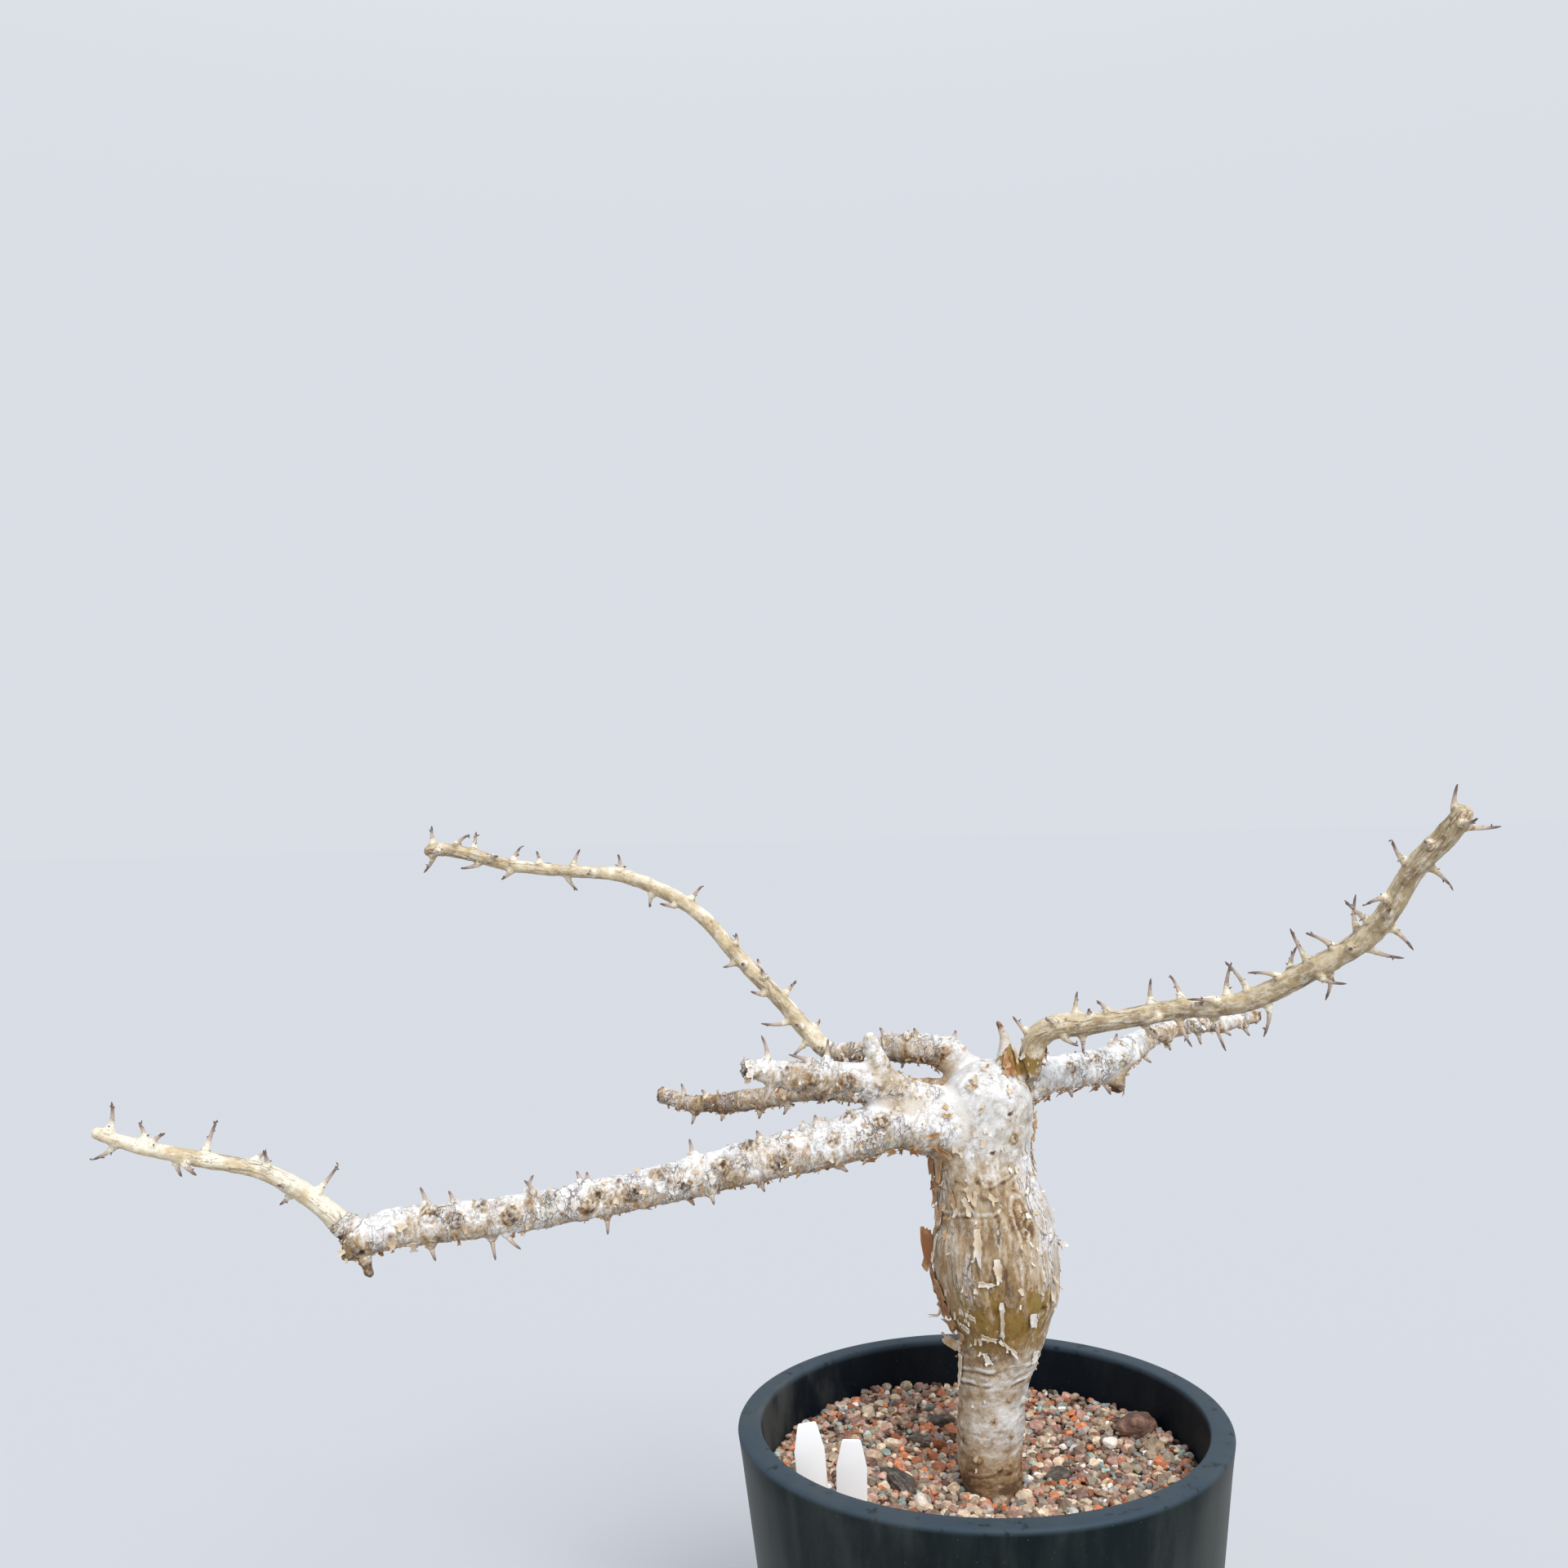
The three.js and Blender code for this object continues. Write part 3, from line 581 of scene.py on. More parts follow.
def read_stems(places: Array, stems: Sequence[Stem]) -> StemReading:
    """Finds for each point the stem it belongs to and its place on that stem.

    Args:
        places: Rows of x, y, z in metres.
        stems: The stems to choose from.

    Returns:
        Stem number, distance up it, turn in radians, unrolled place and height over its radius, in
        millimetres.
    """
    points = places / MM
    count = len(points)
    reading = StemReading(*(np.zeros(count) for _ in range(3)), np.zeros((count, 3)), np.full(count, 1e9))
    own = np.sum(points**2, axis=1)[:, None]
    for number, stem in enumerate(stems):
        centres, girths = stem.centre[::READING_STRIDE], stem.girth[::READING_STRIDE]
        squares = own - 2 * points @ centres.T + np.sum(centres**2, axis=1)[None]
        over = np.sqrt(np.maximum(squares, 0.0)) - girths[None]
        nearest = np.argmin(over, axis=1)
        value = over[np.arange(count), nearest]
        index = nearest * READING_STRIDE
        away = points - stem.centre[index]
        shift = np.sum(away * stem.along[index], axis=1)
        flat = away - stem.along[index] * shift[:, None]
        up = np.sum(flat * stem.top[index], axis=1)
        out = np.sum(flat * stem.side[index], axis=1)
        closer = value < reading.over
        distance = stem.at[index] + shift
        reading.stem = np.where(closer, number, reading.stem)
        reading.distance = np.where(closer, distance, reading.distance)
        reading.turn = np.where(closer, np.arctan2(out, up), reading.turn)
        local = np.stack([up, out, distance + STEM_APART * number], axis=1)
        reading.local = np.where(closer[:, None], local, reading.local)
        reading.over = np.where(closer, value, reading.over)
    return reading


# Routes, in millimetres: x, y, z, radius. They are the same as the solids'.

TRUNK = Stem(
    [
        (4, 0, 138, 9), (5, 0, 160, 14), (5, 0, 185, 16.5), (5, 0, 203, 16.7), (4, 0, 219, 18),
        (5, 0, 237, 19), (6, 0, 250, 18.3), (8, 0, 264, 20), (11, 0, 280, 23.2), (12, 0, 290, 26.5),
        (12, 0, 300, 30.5), (12, 0, 310, 33.5), (11, 0, 322, 35), (10, 0, 335, 34.8), (10, 0, 346, 33.2),
        (8, 0, 358, 30), (6, 0, 370, 27.5), (4, 0, 384, 27), (6, 0, 402, 27.3), (9, 1, 418, 25),
        (12, 2, 436, 16),
    ],
    top=(0, -1, 0),
)
LEFT_LIMB = Stem(
    [
        (5, -3, 402, 20), (-24, -8, 402, 17), (-43, -11, 405, 14.6), (-61, -15, 400, 13.4),
        (-97, -22, 393, 12.2),
        (-132, -29, 387, 11), (-184, -40, 378, 10), (-234, -51, 372, 9.4), (-283, -62, 369, 9.7),
        (-309, -68, 368, 10), (-328, -72, 361, 8),
    ],
    Heading.LEFTWARD,
)
WHITE_STUB = Stem(
    [
        (-8, -5, 406, 14), (-38, -10, 417, 11.5), (-51, -12, 425, 11), (-69, -15, 430, 9.4),
        (-87, -18, 432, 8.6), (-105, -21, 434, 7.6), (-122, -24, 438, 5.5), (-128, -25, 438, 4.8),
    ],
    Heading.LEFTWARD,
)
STUB_KNOB = Stem(
    [(-50, -14, 426, 8), (-53, -16, 437, 7.2), (-56, -17, 446, 5.2), (-58, -18, 455, 2.6)],
    Heading.LEFTWARD,
    (0, -1, 0),
)
BACK_LIMB = Stem(
    [
        (8, 8, 418, 13), (-3, 14, 429, 10.4), (-16, 21, 438, 9.3), (-38, 30, 439, 8), (-62, 39, 436, 6),
        (-76, 45, 435, 5.6), (-83, 47, 440, 5.4),
    ],
    Heading.LEFTWARD,
)
LOWER_LEFT_LIMB = Stem(
    [
        (0, 8, 413, 11), (-30, 16, 416, 8), (-58, 25, 415, 6.4), (-86, 38, 415, 6.2), (-125, 55, 407, 6.2),
        (-145, 64, 404, 5.4), (-165, 72, 403, 4.4), (-175, 77, 406, 4.9), (-182, 80, 407, 4.3),
    ],
    Heading.LEFTWARD,
)
RIGHT_BACK_LIMB = Stem(
    [
        (12, 8, 414, 13), (42, 23, 421, 10), (56, 31, 423, 9.9), (77, 43, 423, 10), (88, 49, 425, 10),
        (99, 56, 430, 8.7), (111, 63, 435, 6.9), (122, 69, 438, 5.2), (145, 81, 441, 5), (169, 93, 440, 4.8),
        (194, 105, 442, 3.4),
    ]
)
BROKEN_BRANCH = Stem([(92, 50, 424, 7), (91, 46, 415, 5.5), (90, 42, 408, 4.2)], top=(1, 0, 0))
CONE_STUB = Stem(
    [(18, -4, 420, 9), (18, -5, 430, 6.8), (19, -5, 440, 5.2), (18, -5, 448, 3.8), (14, -5, 459, 1.5)],
    top=(0, -1, 0),
)
LEFT_SHOOT = Stem(
    [
        (-322, -69, 366, 8), (-332, -69, 372, 6.3), (-339, -72, 380, 5.2), (-353, -77, 393, 5),
        (-368, -83, 403, 4.2), (-396, -93, 412, 4), (-424, -104, 422, 3.5), (-440, -110, 430, 2.9),
    ],
    Heading.LEFTWARD,
)
UPPER_LEFT_SHOOT = Stem(
    [
        (-62, 39, 436, 6), (-76, 45, 435, 5.6), (-88, 48, 445, 5.3), (-104, 50, 464, 4.8), (-132, 53, 494, 4.5),
        (-151, 56, 516, 4.4), (-171, 58, 530, 4.4), (-200, 60, 542, 3.9), (-230, 63, 545, 3.7),
        (-269, 66, 550, 3.6), (-289, 68, 556, 4.1), (-309, 69, 560, 4), (-320, 70, 559, 3.2),
    ],
    Heading.LEFTWARD,
)
RIGHT_SHOOT = Stem(
    [
        (31, 2, 424, 7.6), (33, -2, 438, 6.7), (36, -6, 448, 6.8), (43, -11, 454, 6.8), (61, -18, 457, 6.5),
        (73, -24, 459, 5.5), (105, -38, 466, 5.4), (136, -53, 471, 5.6), (165, -68, 487, 5.9),
        (193, -86, 509, 5.7), (209, -103, 542, 5.6), (221, -113, 558, 5.9), (228, -120, 570, 4),
    ]
)

# Spines and stubs: distance up the stem, turn round it from the top towards the viewer, reach, lean.

LEFT_SHOOT_SPINES = [
    (32, 10, 16, 1), (41, -150, 9, 1), (48, 100, 6, 4), (61, 35, 9, 5), (66, -20, 5, -4), (78, -95, 8, 3),
    (90, 5, 16, -1), (97, 140, 5, -6), (101, -165, 7, -4), (115, 25, 7, -4), (119, -30, 8, 5),
    (131, -165, 10, 6), (136, 5, 13, 5),
]
UPPER_LEFT_SHOOT_SPINES = [
    (31, 165, 11, 0), (34, -10, 4, 0), (40, 95, 5, 3), (47, 170, 13, 9), (55, -95, 7, 2), (60, -5, 10, 1),
    (69, 150, 5, 6), (76, 45, 3, 4), (82, -40, 4, 4), (89, 90, 4, 1), (94, 165, 6, 2), (102, 5, 4, 4),
    (120, -90, 8, 0), (139, 0, 10, -1), (146, 150, 4, 7), (161, 175, 8, -2), (172, -100, 8, 2),
    (184, 20, 9, 2), (188, -60, 6, -6), (199, 95, 4, 3), (212, 0, 10, -3), (215, -165, 8, -6),
    (233, 10, 7, 2), (236, -70, 6, -8), (249, 0, 8, -3), (250, 165, 6, 4), (262, 60, 5, -5),
    (270, 170, 6, 9), (275, -5, 10, 1), (285, 15, 8, -7), (295, 100, 7, 4), (299, 0, 11, -1), (300, 180, 9, 7),
]
RIGHT_SHOOT_SPINES = [
    (26, 30, 11, 3), (33, -120, 6, 3), (40, 60, 5, -3), (44, 150, 6, 7), (51, -5, 11, 2), (53, 180, 9, -1),
    (60, 40, 5, 1), (69, 15, 7, -4), (76, -95, 9, 2), (87, -160, 15, 9), (93, 0, 13, 3), (96, 110, 6, -12),
    (106, 175, 15, 4), (108, -30, 15, -5), (117, 70, 5, 5), (124, -170, 19, 3), (129, 60, 7, -14),
    (134, 0, 16, 6), (146, 15, 18, -4), (152, 175, 14, -9), (158, -90, 11, 2), (164, 35, 11, -11),
    (171, -20, 9, 8), (181, 15, 18, 2), (183, 150, 10, 10), (186, -165, 11, -9), (196, 30, 14, -6),
    (204, 95, 7, 2), (209, -145, 16, 8), (211, -15, 15, 10), (220, 30, 15, 2), (223, -150, 15, -4),
    (230, 110, 8, 6), (236, 60, 8, -6), (246, -60, 10, 3), (256, 30, 11, 6), (260, -150, 13, -2),
    (270, 75, 7, 1), (276, -80, 9, 4), (286, -130, 15, 7), (288, 130, 11, 8), (291, 10, 6, 10),
]
LEFT_LIMB_STUBS = [
    (85, 170, 4, -3), (94, 0, 4, 0), (100, -90, 6, 0), (112, 60, 3, 2), (126, -5, 4, 1), (130, 175, 5, -1),
    (146, -80, 6, 2), (158, 150, 6, 0), (163, 0, 9, 0), (169, -170, 5, -2), (178, 70, 3, 2), (192, -100, 7, 0),
    (204, 40, 3, 1), (213, 180, 9, 1), (220, 0, 5, 0), (224, -15, 6, 1), (236, 95, 3, 0), (242, -85, 7, 2),
    (249, 15, 8, 4), (252, -10, 8, -4), (264, 170, 8, -6), (272, 180, 12, -1), (280, -80, 7, 0),
    (288, 80, 5, 2), (291, 0, 6, 2), (303, 175, 8, -2), (305, 0, 9, 3), (316, -100, 7, 0), (322, 90, 5, 1),
]
WHITE_STUB_SPINES = [
    (47, 175, 6, 6), (58, -60, 6, 2), (63, 150, 4, 0), (75, -160, 7, 8), (80, 0, 11, 0), (90, 20, 4, 12),
    (99, -70, 6, 0), (103, 60, 4, 1), (109, 170, 11, 3), (114, 0, 11, 6),
]
LOWER_LEFT_LIMB_SPINES = [
    (62, -100, 7, 2), (92, -30, 6, 2), (112, 170, 5, 3), (120, 20, 4, 0), (130, 180, 5, 2), (142, -90, 6, 1),
    (153, 160, 5, 1), (164, 20, 4, 2), (173, 175, 7, 2), (181, 0, 6, 3), (186, -110, 6, 2),
]
RIGHT_BACK_LIMB_SPINES = [
    (40, -10, 4, 1), (52, 160, 5, 0), (61, 60, 4, 2), (72, -60, 6, 1), (80, 170, 7, 2), (94, 10, 5, 3),
    (104, -120, 7, 0), (112, 170, 6, 3), (124, -10, 6, 4), (133, 165, 6, 0), (143, 40, 4, 2), (151, -80, 7, 3),
    (160, 180, 7, 2), (170, 5, 5, 3), (178, 130, 5, 2), (187, -30, 6, 3), (197, 175, 6, 3), (206, 10, 5, 4),
]
BACK_LIMB_SPINES = [(30, -20, 5, 1), (46, 20, 4, 1), (58, -150, 6, 2), (66, 5, 5, 2), (76, 160, 5, 3)]
TRUNK_KNOBS = [
    (80, 30, 3, 2), (84, -30, 3, 1), (98, 150, 4, 0), (116, 55, 3, 2), (172, -160, 4, 2), (205, 55, 3, 3),
    (231, -10, 3, 2), (246, 130, 4, 1),
]


# Knots on the old wood: distance up the stem, turn, size.

KNOTS = [
    (LEFT_LIMB, [
        (60, 62, 3.2), (76, 18, 3.0), (88, 70, 2.6), (101, 22, 3.2), (121, 95, 2.6), (133, 20, 3.0),
        (150, 66, 3.4), (171, 92, 2.6), (184, 38, 2.8), (199, 78, 3.2), (217, 55, 3.0), (222, 92, 3.2),
        (241, 46, 3.2), (262, 84, 3.0), (276, 30, 3.0), (290, 70, 3.0), (303, 40, 3.4), (110, -110, 3.0),
        (190, -95, 3.0), (250, -80, 3.0),
    ]),
    (WHITE_STUB, [(52, 80, 2.6), (70, 92, 2.8), (88, 100, 2.0)]),
    (BACK_LIMB, [(30, 70, 2.6), (52, 20, 2.6)]),
    (LOWER_LEFT_LIMB, [(100, 60, 2.2), (150, 40, 2.2)]),
    (RIGHT_BACK_LIMB, [(50, 70, 2.8), (70, 40, 2.6), (90, 85, 2.8), (120, 50, 2.4), (150, 70, 2.0)]),
    (TRUNK, [(289, -34, 1.6)]),
    (LEFT_LIMB, [(44, 8, 2.6)]),
    (TRUNK, [
        (84, -26, 1.3), (79, 10, 1.2), (98, 30, 1.2), (106, -2, 1.0), (128, 62, 1.2), (92, -58, 1.0),
        (118, 20, 0.9), (262, 30, 1.8), (232, 74, 1.5), (300, 20, 1.3), (240, -14, 1.2),
    ]),
]

# Slits in the trunk's bark: distance up it, turn, size, depth.

SLITS = [
    (274, 22, 1.9, 1.5), (254, 4, 1.5, 1.0), (168, 40, 2.6, 0.9), (245, 52, 1.0, 0.5), (282, -8, 0.8, 0.4),
]

# Torn wood at the left limb's end, as paths and radii.

TORN_ENDS = [
    ([(-321, -71, 362), (-325, -72, 361), (-328, -73, 360), (-331.5, -73.5, 359)], [5.5, 6.4, 6.4, 5.0]),
    ([(-319, -74, 355), (-318, -74, 351), (-317, -75, 348.5), (-315, -75, 347)], [3.6, 2.4, 2.5, 1.3]),
]

# Large strips of loose bark: distance up the stem, turn, length, width, heading in degrees, peel, tone.

STRIPS = [
    (TRUNK, [
        (215, -23, 18, 3.6, 0, 0.03, 0.25), (198, -6, 12, 3.0, 0, 0.05, 0.3),
        (186, -24, 8, 3.2, 80, 0.05, 0.2), (175, -6, 22, 3.6, 0, 0.03, 0.35),
        (152, -9, 12, 2.6, 50, 0.08, 0.3), (165, -44, 7, 3.0, 80, 0.15, 0.3),
        (158, -55, 6, 4.0, 75, 0.15, 0.3), (167, 25, 8, 3.6, 10, 0.08, 0.05),
        (145, 46, 5.5, 5.0, 0, 0.1, 0.1), (153, -30, 8, 4.0, 80, 0.05, 0.4),
        (142, -28, 7, 5.0, 30, 0.12, 0.2), (192, 82, 6, 3.0, 90, 0.7, 0.1),
        (196, -86, 7, 16.0, -84, 0.80, 1.1), (181, -86, 5, 13.0, -95, 0.4, 0.95),
        (177, -74, 7, 12.0, -70, 0.20, 0.85), (171, -82, 7, 14.0, -80, 0.4, 1.05),
        (164, -76, 8, 11.0, -65, 0.35, 0.95), (158, -68, 8, 9.0, -50, 0.3, 0.8),
        (155, -76, 7, 8.0, -40, 0.4, 1.0), (168, -84, 19, 1.8, -35, 0.6, 0.3),
        (138, -76, 13, 6.5, -85, 0.75, 0.55), (134, -74, 14, 4.5, 0, 0.08, 0.35),
        (150, -62, 9, 5.0, -20, 0.2, 0.7), (205, -74, 12, 3.5, -10, 0.15, 0.4),
        (252, -80, 6, 9.0, -80, 0.35, 0.95), (249, -60, 8, 3.0, -20, 0.15, 0.75),
        (245, -84, 6, 9.0, -95, 0.4, 1.0), (242, -66, 9, 3.0, -30, 0.15, 0.85),
        (236, -86, 6, 8.0, -75, 0.45, 0.95), (236, -52, 9, 3.0, 20, 0.12, 0.75),
        (229, -86, 5, 8.0, -90, 0.4, 0.85), (226, -70, 9, 4.0, -10, 0.12, 0.7),
        (254, -70, 6, 5.0, -60, 0.2, 0.65), (221, -86, 4, 7.0, -80, 0.2, 0.5),
        (237, -28, 8, 4.0, 10, 0.1, 0.45), (234, -18, 7, 4.0, -20, 0.1, 0.5),
        (231, -34, 9, 4.0, 25, 0.08, 0.4), (232, -5, 6, 3.0, 30, 0.1, 0.3),
        (200, 150, 16, 6.0, 0, 0.1, 0.7), (186, -160, 18, 7.0, 5, 0.08, 0.8),
        (212, 175, 14, 5.0, -10, 0.1, 0.6), (170, 130, 14, 6.0, 10, 0.1, 0.6),
        (222, 120, 10, 5.0, 0, 0.1, 0.5), (160, -130, 15, 6.0, 0, 0.12, 0.75),
        (255, 100, 8, 4.0, 0, 0.3, 0.62), (248, 104, 9, 4.0, 0, 0.25, 0.55),
        (240, 98, 9, 4.0, 10, 0.15, 0.6), (262, 112, 8, 4.0, 0, 0.3, 0.6),
    ]),
    (CONE_STUB, [(22, -20, 9, 3.6, 12, 0.1, 0.75), (20, 20, 10, 2.4, -18, 0.12, 0.85)]),
    (RIGHT_SHOOT, [(24, -70, 9, 5.0, 0, 0.12, 0.8), (22, -120, 8, 5.0, 10, 0.15, 0.9)]),
    (TRUNK, [
        (291, -34, 5, 3.0, 40, 0.5, 0.4), (287, -26, 4, 3.0, -30, 0.5, 0.5),
        (285, -42, 4, 2.5, 90, 0.5, 0.45),
    ]),
    (LEFT_LIMB, [(28, 60, 5, 3.0, 20, 0.4, 0.55)]),
    (RIGHT_BACK_LIMB, [
        (16, 150, 5, 5.0, 70, 0.5, 0.8), (22, 165, 4, 6.0, 95, 0.6, 0.95), (29, 155, 5, 5.0, 80, 0.5, 0.75),
        (37, 168, 4, 6.0, 60, 0.5, 0.9), (45, 150, 5, 5.0, 100, 0.5, 0.8), (54, 165, 4, 7.0, 85, 0.5, 0.7),
    ]),
    (TRUNK, [
        (268, 84, 5, 6.0, 90, 0.5, 0.7), (260, 88, 4, 5.0, 80, 0.5, 0.75), (252, 80, 9, 2.5, 0, 0.1, 0.5),
    ]),
    (LEFT_LIMB, [
        (40, 135, 5, 6.0, 70, 0.3, 0.9), (50, 150, 5, 7.0, 90, 0.4, 0.95), (60, 140, 4, 7.0, 80, 0.4, 0.8),
        (70, 155, 4, 6.0, 100, 0.4, 0.85), (31, 120, 9, 2.2, 30, 0.35, 0.85),
        (36, 105, 8, 2.0, -30, 0.3, 0.7),
    ]),
    (BACK_LIMB, [(18, 150, 5, 5.0, 80, 0.4, 0.7), (30, 160, 4, 5.0, 90, 0.4, 0.8)]),
    (WHITE_STUB, [
        (124, 30, 4, 4.0, 90, 0.4, 0.1), (125, 120, 4, 4.0, 70, 0.5, 0.35),
        (122, 80, 4, 4.0, 110, 0.3, 0.2),
    ]),
    (LEFT_LIMB, [
        (318, 60, 5, 4.0, 60, 0.4, 0.3), (322, 100, 5, 4.0, 100, 0.5, 0.5),
        (312, 130, 6, 5.0, 80, 0.4, 0.4),
    ]),
    (TRUNK, [
        (263, -84, 7, 6.0, -80, 0.4, 1.0), (258, -70, 9, 3.0, -10, 0.2, 0.85),
        (272, 88, 6, 4.0, 100, 0.5, 0.8), (266, 92, 6, 5.0, 85, 0.5, 0.8), (276, 95, 6, 4.0, 95, 0.6, 0.75),
        (245, 84, 9, 2.5, 5, 0.1, 0.7),
    ]),
    (RIGHT_BACK_LIMB, [
        (24, 140, 7, 3.0, 70, 0.5, 0.85), (34, 145, 7, 3.0, 110, 0.5, 0.9), (62, 160, 6, 3.0, 80, 0.5, 0.8),
        (72, 150, 6, 3.0, 100, 0.5, 0.85),
    ]),
    (CONE_STUB, [(17, -5, 8, 3.0, 30, 0.15, 1.0), (24, 60, 8, 2.4, -10, 0.15, 0.5)]),
]


# Finishes


class Graph:
    """Short calls that add nodes to a node tree."""

    def __init__(self, tree: NodeTree) -> None:
        """Keeps the tree that the nodes go into."""
        self.tree = tree

    def feed(self, target: Socket, source: Input) -> None:
        """Links a socket, or sets a constant on it."""
        if isinstance(source, Socket):
            self.tree.links.new(source, target)
        elif isinstance(source, (int, float)):
            target.default_value = source
        else:
            numbers = tuple(source)
            opaque = (1.0,) if len(target.default_value) > len(numbers) else ()
            target.default_value = numbers + opaque

    def fill(self, node: Node, values: dict[str, Input]) -> Node:
        """Feeds a node's inputs by their names."""
        for name, value in values.items():
            self.feed(node.inputs[name], value)
        return node

    def add(self, kind: str, **settings: object) -> Node:
        """New node with its settings."""
        node = self.tree.nodes.new(kind)
        for name, value in settings.items():
            setattr(node, name, value)
        return node

    def place(self) -> Socket:
        """The object's own coordinates."""
        return self.add("ShaderNodeTexCoord").outputs["Object"]

    def stored(self, name: str) -> Socket:
        """A number stored on the vertices."""
        return self.add("ShaderNodeAttribute", attribute_name=name).outputs["Fac"]

    def flow(self, name: str) -> Socket:
        """A vector stored on the vertices."""
        return self.add("ShaderNodeAttribute", attribute_name=name).outputs["Vector"]

    def tones(self, value: Input, colours: Sequence[Colour]) -> Socket:
        """Blend through a row of colours as a value goes from 0 to 1."""
        result: Input = colours[0]
        steps = len(colours) - 1
        for step in range(steps):
            result = self.mix(self.ramp(value, step / steps, (step + 1) / steps), result, colours[step + 1])
        return result

    def stretch(self, vector: Input, scale: Sequence[float]) -> Socket:
        """Coordinates scaled unevenly."""
        node = self.add("ShaderNodeMapping", vector_type="POINT")
        return self.fill(node, {"Vector": vector, "Scale": scale}).outputs["Vector"]

    def noise(
        self, vector: Input, scale: Input, detail: float = 3.0, rough: float = 0.5, warp: float = 0.0
    ) -> Socket:
        """Layered noise, 0 to 1."""
        values = {"Vector": vector, "Scale": scale, "Detail": detail, "Roughness": rough, "Distortion": warp}
        return self.fill(self.add("ShaderNodeTexNoise"), values).outputs["Fac"]

    def cell(self, vector: Input, scale: Input, feature: str = "F1", output: str = "Distance") -> Socket:
        """Cell pattern."""
        node = self.add("ShaderNodeTexVoronoi", feature=feature)
        return self.fill(node, {"Vector": vector, "Scale": scale}).outputs[output]

    def ramp(self, value: Input, low: float, high: float, start: float = 0.0, stop: float = 1.0) -> Socket:
        """Eased ramp of a value."""
        node = self.add("ShaderNodeMapRange", interpolation_type="SMOOTHSTEP")
        values = {"Value": value, "From Min": low, "From Max": high, "To Min": start, "To Max": stop}
        return self.fill(node, values).outputs["Result"]

    def math(self, operation: str, first: Input, second: Input = 0.0) -> Socket:
        """One calculation."""
        node = self.add("ShaderNodeMath", operation=operation)
        self.feed(node.inputs[0], first)
        self.feed(node.inputs[1], second)
        return node.outputs[0]

    def plus(self, first: Input, second: Input) -> Socket:
        """One value added to another."""
        return self.math("ADD", first, second)

    def minus(self, first: Input, second: Input) -> Socket:
        """One value taken from another."""
        return self.math("SUBTRACT", first, second)

    def times(self, first: Input, second: Input) -> Socket:
        """One value multiplied by another."""
        return self.math("MULTIPLY", first, second)

    def swing(self, source: Input, share: float) -> Socket:
        """A 0 to 1 value as a change up or down, that large."""
        return self.times(self.minus(source, 0.5), share)

    def mix(self, amount: Input, first: Input, second: Input) -> Socket:
        """Blend of two colours."""
        node = self.add("ShaderNodeMix", data_type="RGBA")
        self.feed(node.inputs[0], amount)
        self.feed(node.inputs[6], first)
        self.feed(node.inputs[7], second)
        return node.outputs[2]

    def bump(self, height: Input, strength: float, distance: float, normal: Input | None = None) -> Socket:
        """Normal bent by a height."""
        values = {"Strength": strength, "Distance": distance, "Height": height}
        node = self.fill(self.add("ShaderNodeBump"), values)
        if normal is not None:
            self.feed(node.inputs["Normal"], normal)
        return node.outputs["Normal"]

    def axes(self, vector: Input) -> Node:
        """The X, Y and Z of a vector as the outputs of one node."""
        return self.fill(self.add("ShaderNodeSeparateXYZ"), {"Vector": vector})

    def adjusted(self, colour: Input, name: str, value: Input) -> Socket:
        """A colour with its Saturation or its Value changed."""
        node = self.fill(self.add("ShaderNodeHueSaturation"), {name: value, "Color": colour})
        return node.outputs["Color"]

    def group(self, tree: NodeTree, **values: Input) -> Node:
        """A shared effect with its own values."""
        named = {name.title(): value for name, value in values.items()}
        return self.fill(self.add("ShaderNodeGroup", node_tree=tree), named)


def new_effect(name: str, inputs: dict[str, str], outputs: dict[str, str]) -> tuple[Graph, Node, Node]:
    """Empty shared effect.

    Args:
        name: Group name.
        inputs: Socket names and kinds.
        outputs: Socket names and kinds.

    Returns:
        Its graph, its input node and its output node.
    """
    tree = bpy.data.node_groups.new(name, "ShaderNodeTree")
    for way, sockets in (("INPUT", inputs), ("OUTPUT", outputs)):
        for label, kind in sockets.items():
            tree.interface.new_socket(label, in_out=way, socket_type=f"NodeSocket{kind}")
    graph = Graph(tree)
    return graph, graph.add("NodeGroupInput"), graph.add("NodeGroupOutput")


